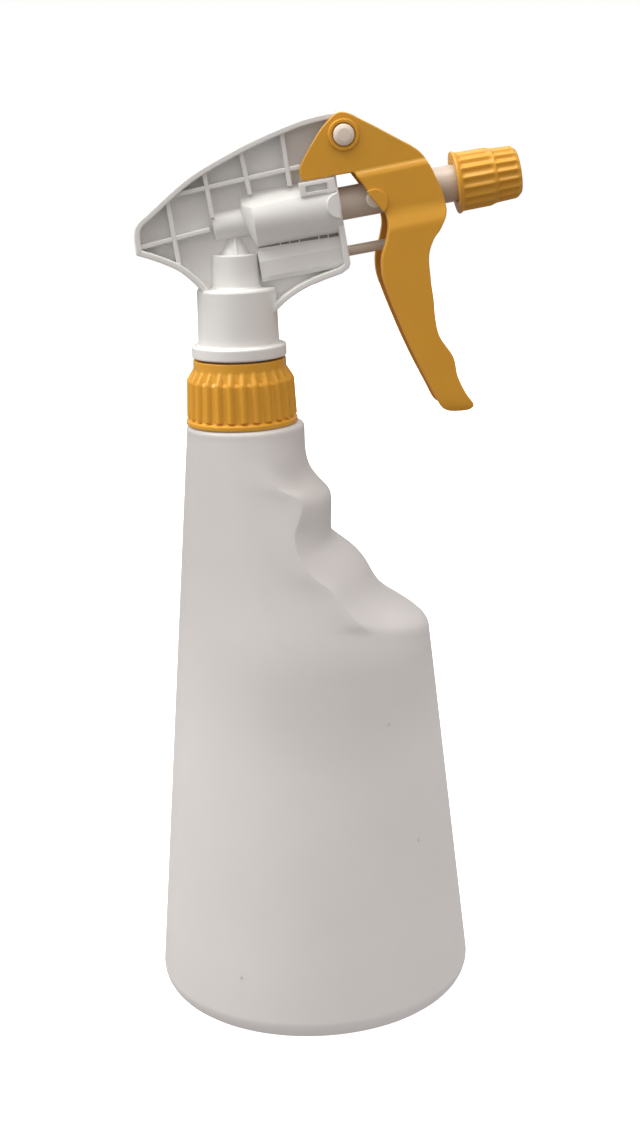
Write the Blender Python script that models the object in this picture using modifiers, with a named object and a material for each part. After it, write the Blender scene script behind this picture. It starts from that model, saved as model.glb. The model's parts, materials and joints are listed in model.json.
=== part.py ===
"""Trigger spray bottle: a round tapered bottle with a finger grip and an open-frame trigger pump.

Sizes are in millimetres and MM turns them into metres.  Two local frames carry every piece: the
neck frame (origin on the standing surface, under the neck axis) and the barrel frame (origin in
the mouth of the pump barrel, local X along the barrel towards the nozzle).
"""
import math

import bmesh
import bpy
from mathutils import Matrix, Vector

MM = 0.001
TURN = 2.0 * math.pi

# ---- Driving dimensions -------------------------------------------------------------------
NECK_X = -25.27           # neck axis, measured from the middle of the object's length
BODY_X = 15.8             # axis of the bottle's round lower body, in the neck frame
BASE_R = 47.6             # largest radius, just above the heel
HEEL_R = 7.0
SIDE_TAPER = 0.0925       # loss of radius for each millimetre of height
WALL = 1.3
SHOULDER_Z = 174.0
NECK_R = 12.4
NECK_BORE_R = 10.9
NECK_TOP_Z = 190.4
THREAD_R = 13.5

COLLAR_BASE_Z = 177.0
COLLAR_TOP_Z = 195.2
COLLAR_RIM_R = 16.2
COLLAR_BORE_R = 13.9
COLLAR_RIBS = 26
COLLAR_RIB_W = 1.4
COLLAR_RIB_H = 11.5
COLLAR_RIB_R = 14.9       # middle of each rib, from the neck axis
COLLAR_RIB_Z = 184.3

FLANGE_Z = 195.8          # underside of the pump body's flange
FLANGE_H = 4.0
FLANGE_R = 13.7
SKIRT_R = 11.7
SKIRT_TOP_Z = 215.7
SKIRT_BEVEL = 1.05        # the chamfer around the skirt's top, across
SKIRT_BEVEL_H = 2.7
SLEEVE_R = 10.2           # the body's sleeve through the collar
HUB_R = 6.8
SPIGOT_BORE_R = 5.2

BARREL_TILT = 8.1         # degrees, nozzle end up
BARREL_X = 31.4           # mouth of the barrel, in the neck frame
BARREL_Z = 238.4
BARREL_R = 7.9
BORE_R = 6.5
BARREL_L = 27.0
PLATE_T = 1.7             # thickness of the frame's flanges
FRAME_W = 5.8             # half width of the frame's flanges
WEB_W = 1.0               # half thickness of the frame's web
VENT_V = -13.4            # vent tube's axis, below the barrel's
VENT_R = 3.2
VENT_BORE_R = 2.3

PIVOT_S = 2.6             # trigger pivot, in the barrel frame
PIVOT_V = 19.0
PIN_R = 3.1
EAR_IN = 6.3              # inner and outer faces of the trigger's cheeks
EAR_OUT = 7.9
GRIP_OUT = 9.0            # the cheeks are wider where the fingers pull
TRIGGER_WEB = 1.7
TRUNNION_S = 8.3          # plunger's cross pin, on the barrel axis
TRUNNION_R = 2.4
VENT_PAD_S = 14.4

PLUNGER_R = 4.65
STEM_R = 5.0
STEM_END_S = 46.4
PISTON_S = -9.0           # rear of the piston cup
PISTON_L = 4.2

CAP_S = 32.2              # rear and front ends of the nozzle cap
CAP_END_S = 50.8
CAP_BORE_R = 5.5

TUBE_R = 3.0
TUBE_BORE_R = 2.2
TUBE_TOP_Z = 207.5
TUBE_END_Z = 9.0
TUBE_LEAN = 4.5           # how far the tube's foot leans forward

GAP = 0.3                 # clearance between neighbouring pieces
ROUND = 24                # facets of a round piece
BROAD_ROUND = 32          # facets of the widest turned pieces


# ---- Scene, frames and materials ------------------------------------------------------------
def clear_scene():
    """Remove every object of the startup scene."""
    for obj in list(bpy.data.objects):
        bpy.data.objects.remove(obj, do_unlink=True)


def new_collection(name):
    """A collection linked to the scene."""
    collection = bpy.data.collections.new(name)
    bpy.context.scene.collection.children.link(collection)
    return collection


def new_frame(name, location, tilt_degrees, parent=None):
    """An empty that carries pieces; the tilt lifts its local X axis."""
    frame = bpy.data.objects.new(name, None)
    PARTS.objects.link(frame)
    frame.location = Vector(location) * MM
    frame.rotation_euler = (0.0, -math.radians(tilt_degrees), 0.0)
    frame.parent = parent
    return frame


def plastic(name, colour, roughness, alpha=1.0):
    """A plain moulded plastic."""
    mat = bpy.data.materials.new(name)
    mat.use_nodes = True
    shader = mat.node_tree.nodes["Principled BSDF"]
    shader.inputs["Base Color"].default_value = (*colour, 1.0)
    shader.inputs["Roughness"].default_value = roughness
    shader.inputs["Alpha"].default_value = alpha
    mat.diffuse_color = (*colour, alpha)
    return mat


def steel(name, colour, roughness):
    """A plain metal."""
    mat = plastic(name, colour, roughness)
    mat.node_tree.nodes["Principled BSDF"].inputs["Metallic"].default_value = 1.0
    return mat


# ---- Shape helpers --------------------------------------------------------------------------
def add_object(name, mesh, mat, frame, location=(0, 0, 0), along="Z"):
    """Place a mesh in a frame; along="X" or "Y" turns its local Z axis to that axis."""
    obj = bpy.data.objects.new(name, mesh)
    PARTS.objects.link(obj)
    obj.parent = frame
    obj.location = Vector(location) * MM
    if along == "X":
        obj.rotation_euler = (0.0, math.pi / 2, 0.0)
    if along == "Y":
        obj.rotation_euler = (-math.pi / 2, 0.0, 0.0)
    mesh.materials.append(mat)
    return obj


def shade_round(mesh):
    """Smooth shading with crisp edges."""
    mesh.shade_smooth()
    mesh.set_sharp_from_angle(angle=math.radians(35))


def signed_area(points):
    """Area of a closed outline, positive when it runs counter-clockwise."""
    total = 0.0
    for (x0, z0), (x1, z1) in zip(points, points[1:] + points[:1]):
        total += x0 * z1 - x1 * z0
    return total / 2


def turned(name, profile, mat, frame, location=(0, 0, 0), along="Z", steps=ROUND):
    """A turned solid from (radius, height) points; it closes on itself or on the axis."""
    points = list(profile)
    if signed_area(points) > 0:
        points.reverse()
    on_axis = [i for i, point in enumerate(points) if point[0] == 0]
    if on_axis:
        start = max(i for i in on_axis if points[(i + 1) % len(points)][0] > 0)
        points = points[start:] + points[:start]
        count = len(points) - 1
    else:
        count = len(points)
    half_facet = TURN / steps / 2
    across, aside = math.cos(half_facet) * MM, math.sin(half_facet) * MM
    bm = bmesh.new()
    verts = [bm.verts.new((r * across, r * aside, z * MM)) for r, z in points]
    for i in range(count):
        bm.edges.new((verts[i], verts[(i + 1) % len(verts)]))
    mesh = bpy.data.meshes.new(name)
    bm.to_mesh(mesh)
    bm.free()
    obj = add_object(name, mesh, mat, frame, location, along)
    screw = obj.modifiers.new("turn", "SCREW")
    screw.axis = "Z"
    screw.angle = TURN
    screw.steps = steps
    screw.render_steps = steps
    screw.use_smooth_shade = True
    screw.use_merge_vertices = True
    screw.merge_threshold = 1e-6
    return obj


def ring_profile(inner, outer, low, high):
    """A plain ring's section."""
    return [(inner, low), (outer, low), (outer, high), (inner, high)]


def rod_profile(radius, low, high):
    """A plain rod's section, up to the axis."""
    return [(0, high), (radius, high), (radius, low), (0, low)]


def dome(radius, centre, start, end, steps=6):
    """Points of an arc about (0, centre), between two angles in degrees from the axis."""
    points = []
    for i in range(steps + 1):
        angle = math.radians(start + (end - start) * i / steps)
        points.append((abs(radius * math.sin(angle)), centre + radius * math.cos(angle)))
    if start == 0:
        points[0] = (0, centre + radius)
    if end == 180:
        points[-1] = (0, centre - radius)
    return points


def slab(name, outline, low, high, mat, frame):
    """A flat outline in local X and Z, thick from low to high in Y."""
    points = list(outline)
    if signed_area(points) < 0:
        points.reverse()
    bm = bmesh.new()
    face = bm.faces.new([bm.verts.new((x * MM, low * MM, z * MM)) for x, z in points])
    grown = bmesh.ops.extrude_face_region(bm, geom=[face])
    moved = [item for item in grown["geom"] if isinstance(item, bmesh.types.BMVert)]
    bmesh.ops.translate(bm, verts=moved, vec=(0, (high - low) * MM, 0))
    bmesh.ops.recalc_face_normals(bm, faces=bm.faces)
    mesh = bpy.data.meshes.new(name)
    bm.to_mesh(mesh)
    bm.free()
    return add_object(name, mesh, mat, frame)


def loft(name, rings, mat, frame, closed=False):
    """Skin a list of equal rings of points; closed joins the last ring to the first."""
    bm = bmesh.new()
    rows = [[bm.verts.new(Vector(point) * MM) for point in ring] for ring in rings]
    pairs = list(zip(rows, rows[1:]))
    if closed:
        pairs.append((rows[-1], rows[0]))
    else:
        bm.faces.new(rows[0])
        bm.faces.new(rows[-1])
    for low, high in pairs:
        for i in range(len(low)):
            j = (i + 1) % len(low)
            bm.faces.new((low[i], low[j], high[j], high[i]))
    bmesh.ops.recalc_face_normals(bm, faces=bm.faces)
    mesh = bpy.data.meshes.new(name)
    bm.to_mesh(mesh)
    bm.free()
    shade_round(mesh)
    return add_object(name, mesh, mat, frame)


def boolean(target, tool, operation):
    """Join a hidden tool to the target, or cut the target with it."""
    modifier = target.modifiers.new(tool.name, "BOOLEAN")
    modifier.operation = operation
    modifier.object = tool
    PARTS.objects.unlink(tool)
    TOOLS.objects.link(tool)
    tool.hide_render = True
    tool.display_type = "WIRE"


def join(target, *tools):
    """Fuse tools into the target."""
    for tool in tools:
        boolean(target, tool, "UNION")


def cut(target, *tools):
    """Cut tools out of the target."""
    for tool in tools:
        boolean(target, tool, "DIFFERENCE")


def smooth_path(points, steps=4):
    """A Catmull-Rom curve through the points, ends included."""
    padded = [points[0]] + list(points) + [points[-1]]
    path = []
    for p0, p1, p2, p3 in zip(padded, padded[1:], padded[2:], padded[3:]):
        for i in range(steps):
            t = i / steps
            path.append(tuple(
                0.5 * (2 * b + (c - a) * t + (2 * a - 5 * b + 4 * c - d) * t * t
                       + (3 * b - a - 3 * c + d) * t ** 3)
                for a, b, c, d in zip(p0, p1, p2, p3)))
    path.append(tuple(points[-1]))
    return path


def offset_path(points, distance):
    """The path moved sideways, to the right of its direction for a positive distance."""
    moved = []
    for i, (x, z) in enumerate(points):
        x0, z0 = points[max(i - 1, 0)]
        x1, z1 = points[min(i + 1, len(points) - 1)]
        length = math.hypot(x1 - x0, z1 - z0)
        moved.append((x + distance * (z1 - z0) / length, z - distance * (x1 - x0) / length))
    return moved


def on_circle(cx, cz, radius, degrees):
    """The point of a circle at an angle."""
    angle = math.radians(degrees)
    return cx + radius * math.cos(angle), cz + radius * math.sin(angle)


def arc(cx, cz, radius, start, end, steps):
    """Points on a circle between two angles in degrees."""
    return [on_circle(cx, cz, radius, start + (end - start) * i / steps)
            for i in range(steps + 1)]


def bar(start, end, width):
    """Outline of a straight bar between two points."""
    left = offset_path([start, end], -width / 2)
    right = offset_path([start, end], width / 2)
    return left + right[::-1]


def to_neck(s, v):
    """Barrel-frame (s, v) as neck-frame (x, z)."""
    tilt = math.radians(BARREL_TILT)
    x = BARREL_X + s * math.cos(tilt) - v * math.sin(tilt)
    z = BARREL_Z + s * math.sin(tilt) + v * math.cos(tilt)
    return x, z


def between(value, table):
    """Linear interpolation in a table of (key, value) rows with rising keys."""
    for (k0, v0), (k1, v1) in zip(table, table[1:]):
        if value <= k1:
            return v0 + (v1 - v0) * max(0.0, (value - k0) / (k1 - k0))
    return table[-1][1]


# ---- Bottle -----------------------------------------------------------------------------------
# Front edge of the bottle where the hand grips it, as (height, x) rows.
GRIP_FRONT = [(112, 53.6), (116, 52.4), (120, 46.6), (126, 39.6), (133, 35.2), (137, 32.2),
              (141, 27.6), (145, 25.3), (150, 25.1), (155, 25.2), (159.5, 21.8), (164, 19.0),
              (168, 18.2), (SHOULDER_Z, 18.3)]
# Half width of the bottle above its plain taper, as (height, half width) rows.
GRIP_HALF_WIDTH = [(112, 37.2), (120, 35.6), (130, 32.6), (140, 28.8), (150, 25.0), (160, 21.2),
                   (168, 18.4), (SHOULDER_Z, 17.3)]
TAPER_TOP_Z = 112.0
SECTION_POINTS = 36


def taper_radius(z):
    """Radius of the bottle's conical wall at a height."""
    return BASE_R - SIDE_TAPER * (z - HEEL_R)


def bottle_ring(z, inset, drop=0.0):
    """One section of the bottle; drop shrinks it for the heel."""
    back = BODY_X - taper_radius(z)
    if z <= TAPER_TOP_Z:
        front = BODY_X + taper_radius(z)
        half = taper_radius(z)
    else:
        front = between(z, GRIP_FRONT)
        half = between(z, GRIP_HALF_WIDTH)
    shrink = inset + drop
    middle = min(BODY_X, (back + front) / 2 + 1.5)
    ring = []
    for i in range(SECTION_POINTS):
        angle = TURN * i / SECTION_POINTS
        reach = (front if math.cos(angle) > 0 else 2 * middle - back) - middle - shrink
        ring.append((middle + reach * math.cos(angle), (half - shrink) * math.sin(angle), z))
    return ring


def neck_ring(radius, z):
    """A round section on the neck axis."""
    return [(radius * math.cos(TURN * i / SECTION_POINTS),
             radius * math.sin(TURN * i / SECTION_POINTS), z) for i in range(SECTION_POINTS)]


def heel_rings(inset, low):
    """Sections of the rounded heel, from the standing face up."""
    rings = []
    for step in range(5):
        angle = math.radians(90 * step / 4)
        radius = HEEL_R - inset
        rings.append([(x, y, low + radius * (1 - math.cos(angle))) for x, y, _ in
                      bottle_ring(HEEL_R, inset, radius * (1 - math.sin(angle)))])
    return rings


def make_bottle(mat):
    """Blown bottle: one skin from the base up the outside, over the lip and down the inside."""
    heights = [40, 80, TAPER_TOP_Z] + [z for z, _ in GRIP_FRONT[1:]]
    outside = heel_rings(0.0, 0.0) + [bottle_ring(z, 0.0) for z in heights]
    neck = [neck_ring(NECK_R + 1.6, SHOULDER_Z + 2.0), neck_ring(NECK_R, SHOULDER_Z + 2.6)]
    for low in (180.5, 184.6):
        neck += [neck_ring(NECK_R, low), neck_ring(THREAD_R, low + 0.7),
                 neck_ring(THREAD_R, low + 1.5), neck_ring(NECK_R, low + 2.2)]
    neck += [neck_ring(NECK_R, NECK_TOP_Z), neck_ring(NECK_BORE_R, NECK_TOP_Z),
             neck_ring(NECK_BORE_R, SHOULDER_Z + 1.5)]
    inner_heights = [SHOULDER_Z - 1.5] + [z for z in heights[::-1] if z < SHOULDER_Z - 3]
    inside = [bottle_ring(z, WALL) for z in inner_heights] + heel_rings(WALL, WALL)[::-1]
    loft("bottle", outside + neck + inside, mat, NECK)


# ---- Pump body ----------------------------------------------------------------------------------
# Outer edge of the frame's arch from the rear heel over the top to the nose, in the neck frame.
ARCH = [(-27.9, 226.6), (-27.9, 234.0), (-23.3, 238.6), (-14.4, 245.9), (-7.4, 250.3),
        (5.3, 256.5), (18.2, 261.4), (26.0, 263.3)]
# Lower edges of the frame: the rear saddle and the brace under the front plate.
SADDLE = [(-27.9, 226.6), (-21.5, 224.3), (-15.6, 221.3), (-10.5, 216.4), (-9.0, 213.5)]
BRACE = [(9.5, 208.0), (13.6, 211.8), (18.4, 214.9), (24.0, 217.3), (29.9, 219.2)]
NOSE_R = 6.2              # the frame's nose is round about the trigger pivot
RIB_T = 1.1
RIB_W = 4.6
CROSS_RIBS = [((-18.5, 241.5), (-15.9, 222.5)), ((-7.9, 249.0), (-6.0, 236.0)),
              ((2.5, 254.5), (4.8, 242.0)), ((14.2, 259.0), (16.1, 244.0))]
LONG_RIBS = [((-27.0, 228.5), (-6.9, 232.8)), ((-16.5, 242.7), (19.2, 249.2))]


def frame_outline(inset):
    """The frame's closed outline in the neck frame, moved inwards by inset."""
    pivot = to_neck(PIVOT_S, PIVOT_V)
    top = smooth_path(ARCH, 2) + arc(*pivot, NOSE_R, 90, 10, 6)
    front = [to_neck(-1.3, 12.0), to_neck(-1.3, -17.0)]
    low = smooth_path(BRACE, 2)[::-1] + smooth_path(SADDLE, 2)[::-1]
    path = top + front + low[:-1]
    if inset == 0:
        return path
    loop = path[-1:] + path + path[:1]
    return offset_path(loop, inset)[1:-1]


def barrel_rod(name, radius, low, high, mat, v=0.0):
    """A round solid along the barrel's direction."""
    return turned(name, rod_profile(radius, low, high), mat, BARREL, (0, 0, v), "X")


def make_pump_body(mat):
    """Moulded body: ribbed frame, barrel, vent tube, intake riser and the skirt on the neck."""
    body = slab("pump_body", frame_outline(0), -FRAME_W, FRAME_W, mat, NECK)
    for side in (-1, 1):
        faces = sorted((side * WEB_W, side * (FRAME_W + 1.0)))
        cut(body, slab(f"pocket_{side}", frame_outline(PLATE_T), *faces, mat, NECK))
    for i, (start, end) in enumerate(CROSS_RIBS + LONG_RIBS):
        join(body, slab(f"rib_{i}", bar(start, end, RIB_T), -RIB_W, RIB_W, mat, NECK))
    pivot_x, pivot_z = to_neck(PIVOT_S, PIVOT_V)
    boss = turned("pivot_boss", rod_profile(PIN_R + 1.7, -FRAME_W, FRAME_W), mat, NECK,
                  (pivot_x, 0, pivot_z), "Y")
    skirt = turned("skirt", [(0, SKIRT_TOP_Z), (SKIRT_R - SKIRT_BEVEL, SKIRT_TOP_Z),
                             (SKIRT_R, SKIRT_TOP_Z - SKIRT_BEVEL_H),
                             (SKIRT_R, FLANGE_Z + FLANGE_H), (FLANGE_R - 0.6, FLANGE_Z + FLANGE_H),
                             (FLANGE_R, FLANGE_Z + FLANGE_H - 0.8), (FLANGE_R, FLANGE_Z),
                             (SLEEVE_R, FLANGE_Z), (SLEEVE_R, COLLAR_TOP_Z - 1.6),
                             (0, COLLAR_TOP_Z - 1.6)], mat, NECK, steps=BROAD_ROUND)
    riser = turned("riser", [(0, 231.5), (2.6, 231.0), (4.3, 225.4), (HUB_R - 0.4, 225.4),
                             (HUB_R, 214.0), (0, 214.0)], mat, NECK)
    join(body, boss, skirt, riser,
         turned("barrel", [(0, 0), (BARREL_R, 0), (BARREL_R, -BARREL_L), (4.2, -BARREL_L - 2.2),
                           (4.2, -37.7), (0, -37.7)], mat, BARREL, (0, 0, 0), "X"),
         barrel_rod("vent_tube", VENT_R, -24.0, 0.4, mat, VENT_V),
         slab("latch_box", bar((-12.1, 5.6), (-1.9, 5.6), 4.6), -7.4, 7.4, mat, BARREL),
         slab("side_lobes", arc(-2.0, 0.3, 3.5, 90, 270, 8), -8.5, 8.5, mat, BARREL))
    cavity = turned("skirt_cavity", ring_profile(HUB_R, SLEEVE_R - 1.4, 190.0, SKIRT_TOP_Z - 1.5),
                    mat, NECK)
    cut(body, cavity,
        turned("intake_bore", [(0, 190), (SPIGOT_BORE_R, 190), (SPIGOT_BORE_R, 216), (3.2, 216),
                               (3.2, 223.5), (1.5, 223.5), (1.5, 234), (0, 234)], mat, NECK),
        turned("barrel_bore", [(0, 2), (BORE_R, 2), (BORE_R, -BARREL_L + 1.4),
                               (2.2, -BARREL_L + 1.4), (2.2, -34.5), (0, -34.5)],
               mat, BARREL, (0, 0, 0), "X"),
        barrel_rod("vent_bore", VENT_BORE_R, -22.6, 2.0, mat, VENT_V),
        slab("latch_slot", bar((-10.5, 6.1), (-4.3, 6.1), 1.5), -8.0, 8.0, mat, BARREL),
        turned("vent_port", rod_profile(1.0, SKIRT_TOP_Z - 3.0, 222.2), mat, NECK, (8.0, 0, 0)),
        turned("pin_hole", rod_profile(PIN_R + GAP, -8.0, 8.0), mat, NECK,
               (pivot_x, 0, pivot_z), "Y"))


def make_head_fittings(white, clear, rubber):
    """Fixed pieces on the pump body: pin, bushes, tube holder, gasket, dip tube and strainer."""
    pivot_x, pivot_z = to_neck(PIVOT_S, PIVOT_V)
    turned("pivot_pin", rod_profile(PIN_R, -EAR_OUT - 0.8, EAR_OUT + 0.8), white, NECK,
           (pivot_x, 0, pivot_z), "Y")
    bush_in = PLUNGER_R + 0.25
    turned("barrel_bush", ring_profile(bush_in, BORE_R - GAP, -4.0, 0.0), white, BARREL,
           (0, 0, 0), "X")
    turned("vent_bush", ring_profile(1.75, VENT_BORE_R - 0.15, -3.0, 0.0), white, BARREL,
           (0, 0, VENT_V), "X")
    spigot_r = SPIGOT_BORE_R - GAP
    socket_r = TUBE_R + 0.2
    turned("tube_holder", [(1.6, 215.4), (spigot_r, 215.4), (spigot_r, 193.3), (7.3, 193.3),
                           (7.3, 196.0), (SLEEVE_R - 1.4 - GAP, 196.0),
                           (SLEEVE_R - 1.4 - GAP, 193.3), (12.2, 193.3), (12.2, 192.0),
                           (spigot_r, 192.0), (spigot_r - 0.4, 184.0), (socket_r, 184.0),
                           (socket_r, TUBE_TOP_Z + GAP), (1.6, TUBE_TOP_Z + GAP)], white, NECK)
    turned("neck_gasket", ring_profile(9.4, 12.2, NECK_TOP_Z + GAP, 192.0 - GAP), rubber, NECK)
    tube_rings = []
    for radius, order in ((TUBE_R, 1), (TUBE_BORE_R, -1)):
        for step in range(11)[::order]:
            share = step / 10
            x = TUBE_LEAN * share * share
            z = TUBE_TOP_Z + (TUBE_END_Z - TUBE_TOP_Z) * share
            tube_rings.append([(x + px, py, z) for px, py, _ in neck_ring(radius, 0)[::3]])
    loft("dip_tube", tube_rings, clear, NECK, closed=True)
    turned("tube_strainer", [(0, 5.2), (3.6, 5.2), (4.3, 6.0), (4.3, 14.0), (TUBE_R + 0.25, 14.0),
                             (TUBE_R + 0.25, TUBE_END_Z - GAP), (0, TUBE_END_Z - GAP)],
           white, NECK, (TUBE_LEAN - 0.1, 0, 0), "Z", 24)


# ---- Screw collar ----------------------------------------------------------------------------------
def make_collar(mat):
    """Ribbed screw collar with a smooth bore that clears the bottle's thread."""
    profile = [(SLEEVE_R + GAP, COLLAR_TOP_Z), (13.4, COLLAR_TOP_Z), (13.5, 193.2), (15.2, 189.8),
               (COLLAR_RIM_R - 0.6, COLLAR_BASE_Z + 2.0), (COLLAR_RIM_R, COLLAR_BASE_Z + 1.6),
               (COLLAR_RIM_R, COLLAR_BASE_Z), (COLLAR_BORE_R, COLLAR_BASE_Z),
               (COLLAR_BORE_R, COLLAR_TOP_Z - 1.6), (SLEEVE_R + GAP, COLLAR_TOP_Z - 1.6)]
    collar = turned("screw_collar", profile, mat, NECK, steps=52)
    bm = bmesh.new()
    for i in range(COLLAR_RIBS):
        made = bmesh.ops.create_cube(bm, size=1.0)
        size = Vector((COLLAR_RIB_W, COLLAR_RIB_W, COLLAR_RIB_H)) * MM
        place = Vector((COLLAR_RIB_R, 0, COLLAR_RIB_Z)) * MM
        bmesh.ops.scale(bm, vec=size, verts=made["verts"])
        bmesh.ops.translate(bm, vec=place, verts=made["verts"])
        spin = Matrix.Rotation(TURN * (i + 0.5) / COLLAR_RIBS, 3, "Z")
        bmesh.ops.rotate(bm, cent=(0, 0, 0), matrix=spin, verts=made["verts"])
    mesh = bpy.data.meshes.new("collar_ribs")
    bm.to_mesh(mesh)
    bm.free()
    join(collar, add_object("collar_ribs", mesh, mat, NECK))


# ---- Trigger -------------------------------------------------------------------------------------
# Trigger's front edge from the pivot to the tip, and its rear edge back up, in the neck frame.
TRIGGER_FRONT = [(36.7, 261.4), (45.9, 256.6), (52.8, 252.3), (57.2, 244.0), (59.7, 236.4),
                 (58.6, 232.1), (55.4, 227.5), (54.4, 221.5), (55.3, 214.6), (55.9, 208.0),
                 (56.3, 202.5), (58.3, 198.5), (61.0, 194.6), (62.2, 189.0), (64.5, 184.0),
                 (66.8, 180.9)]
TRIGGER_TIP = [(66.4, 179.5), (64.2, 178.7), (60.6, 178.7), (57.6, 180.0)]
TRIGGER_REAR = [(56.3, 182.2), (49.7, 195.5), (43.4, 211.1), (41.2, 217.5), (41.0, 223.8),
                (43.0, 230.9), (42.4, 236.3), (38.5, 240.7), (33.6, 247.2)]
GRIP_CREASE = [(44.3, 232.0), (59.0, 235.6)]    # from the rear edge to the front one
TRIGGER_HEEL = [(19.4, 245.3), (18.8, 249.0), (22.7, 256.0), (26.5, 261.0), (30.8, 263.8)]


def trigger_outline():
    """Side view of the trigger in the neck frame."""
    return (smooth_path(TRIGGER_FRONT, 2) + TRIGGER_TIP + smooth_path(TRIGGER_REAR, 2)
            + TRIGGER_HEEL)


def grip_outline():
    """Side view of the trigger's lower part, below the crease where it widens."""
    front = [point for point in smooth_path(TRIGGER_FRONT, 2) if point[1] < GRIP_CREASE[1][1]]
    rear = [point for point in smooth_path(TRIGGER_REAR, 2) if point[1] < GRIP_CREASE[0][1] - 1.0]
    return [GRIP_CREASE[1]] + front[:-1] + TRIGGER_TIP + rear + [GRIP_CREASE[0]]


def trigger_hollow():
    """Side view of the space between the cheeks, behind the front web."""
    inner = offset_path(smooth_path(TRIGGER_FRONT, 2), TRIGGER_WEB)
    below = [(60.0, 176.0), (50.0, 172.0)]
    behind = [(10.0, 200.0), (10.0, 270.0), (38.0, 270.0)]
    return inner[1:-1] + below + behind


def make_trigger(mat):
    """Hinged trigger: two cheeks, a front web with a window for the stem, and the vent pad."""
    trigger = slab("trigger", trigger_outline(), -EAR_OUT, EAR_OUT, mat, NECK)
    pivot_x, pivot_z = to_neck(PIVOT_S, PIVOT_V)
    hollow = slab("trigger_hollow", trigger_hollow(), -EAR_IN, EAR_IN, mat, NECK)
    nose = turned("nose_room", rod_profile(NOSE_R + 1.0, -EAR_IN, EAR_IN), mat, NECK,
                  (pivot_x, 0, pivot_z), "Y")
    window = slab("stem_window", [(44, 236.4), (70, 236.4), (70, 270), (47.0, 270), (47.0, 250)],
                  -EAR_IN, EAR_IN, mat, NECK)
    cut(trigger, hollow, nose, window)
    for side in (-1, 1):
        faces = sorted((side * (EAR_OUT - 0.4), side * GRIP_OUT))
        join(trigger, slab(f"grip_cheek_{side}", grip_outline(), *faces, mat, NECK))
    join(trigger,
         slab("vent_pad", bar((VENT_PAD_S + 0.9, -16.6), (VENT_PAD_S + 0.9, -10.4), 1.8),
              -EAR_IN - 0.5, EAR_IN + 0.5, mat, BARREL),
         slab("vent_pad_rib", bar((VENT_PAD_S + 1.0, -13.4), (VENT_PAD_S + 8.1, -13.4), 1.6),
              -EAR_IN - 0.5, EAR_IN + 0.5, mat, BARREL))
    reach = math.hypot(TRUNNION_S - PIVOT_S, PIVOT_V)
    lean = math.degrees(math.atan2(-PIVOT_V, TRUNNION_S - PIVOT_S))
    slot_r = TRUNNION_R + GAP
    far = on_circle(PIVOT_S, PIVOT_V, reach + 0.2, lean)
    near = on_circle(PIVOT_S, PIVOT_V, reach - 0.9, lean)
    slot = arc(*far, slot_r, lean - 90, lean + 90, 8) + arc(*near, slot_r, lean + 90, lean + 270, 8)
    cut(trigger, slab("trunnion_slot", slot, -EAR_OUT - 1, EAR_OUT + 1, mat, BARREL),
        turned("trigger_pin_hole", rod_profile(PIN_R + GAP, -EAR_OUT - 1, EAR_OUT + 1), mat, NECK,
               (pivot_x, 0, pivot_z), "Y"))


# ---- Plunger, valves and springs -----------------------------------------------------------------
def coil(name, radius, wire, start, end, turns, mat, v=0.0):
    """A coil spring along the barrel axis."""
    curve = bpy.data.curves.new(name, "CURVE")
    curve.dimensions = "3D"
    curve.bevel_depth = wire * MM
    curve.bevel_resolution = 1
    curve.use_fill_caps = True
    spline = curve.splines.new("POLY")
    count = turns * 10
    spline.points.add(count)
    for i in range(count + 1):
        angle = TURN * turns * i / count
        s = start + (end - start) * i / count
        spline.points[i].co = (s * MM, radius * math.cos(angle) * MM,
                               (v + radius * math.sin(angle)) * MM, 1.0)
    add_object(name, curve, mat, BARREL)


def make_plunger(cream, rubber, metal):
    """Hollow plunger with its cross pin, piston cup, discharge valve and springs."""
    profile = [(2.0, PISTON_S - 1.0), (3.2, PISTON_S - 1.0), (3.2, PISTON_S + PISTON_L),
               (PLUNGER_R, PISTON_S + PISTON_L + 0.4), (PLUNGER_R, 24.0), (STEM_R, 25.5),
               (STEM_R, 35.0), (4.2, 35.0), (4.2, 37.2), (STEM_R, 37.2), (STEM_R, STEM_END_S),
               (2.7, STEM_END_S), (2.7, 26.0), (1.5, 25.0), (1.5, 22.0), (2.0, 21.0)]
    plunger = turned("plunger_tube", profile, cream, BARREL, (0, 0, 0), "X")
    pin = turned("cross_pin", rod_profile(TRUNNION_R, -EAR_OUT - 0.4, EAR_OUT + 0.4), cream,
                 BARREL, (TRUNNION_S, 0, 0), "Y")
    bore = barrel_rod("plunger_bore", 2.0, TRUNNION_S - 4, TRUNNION_S + 4, cream)
    join(plunger, pin)
    cut(plunger, bore)
    cup_end = PISTON_S + PISTON_L - 0.3
    turned("piston_cup", [(3.4, PISTON_S), (BORE_R - 0.2, PISTON_S - 0.6),
                          (BORE_R - 0.2, PISTON_S + 1.6), (BORE_R - 0.7, cup_end), (3.4, cup_end)],
           rubber, BARREL, (0, 0, 0), "X")
    turned("stem_oring", ring_profile(4.4, 5.3, 35.4, 36.8), rubber, BARREL, (0, 0, 0), "X")
    coil("discharge_spring", 1.9, 0.2, 30.8, 38.6, 5, metal)
    turned("swirl_insert", [(0, 39.2), (2.4, 39.2), (2.4, 44.6), (1.3, 44.6), (1.3, STEM_END_S),
                            (0, STEM_END_S)], cream, BARREL, (0, 0, 0), "X", 20)
    coil("return_spring", 5.3, 0.45, -24.9, PISTON_S - 1.4, 6, metal)


def make_ball(name, radius, mat, frame, location):
    """A valve ball."""
    bm = bmesh.new()
    bmesh.ops.create_uvsphere(bm, u_segments=16, v_segments=10, radius=radius * MM)
    mesh = bpy.data.meshes.new(name)
    bm.to_mesh(mesh)
    bm.free()
    shade_round(mesh)
    add_object(name, mesh, mat, frame, location)


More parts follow.
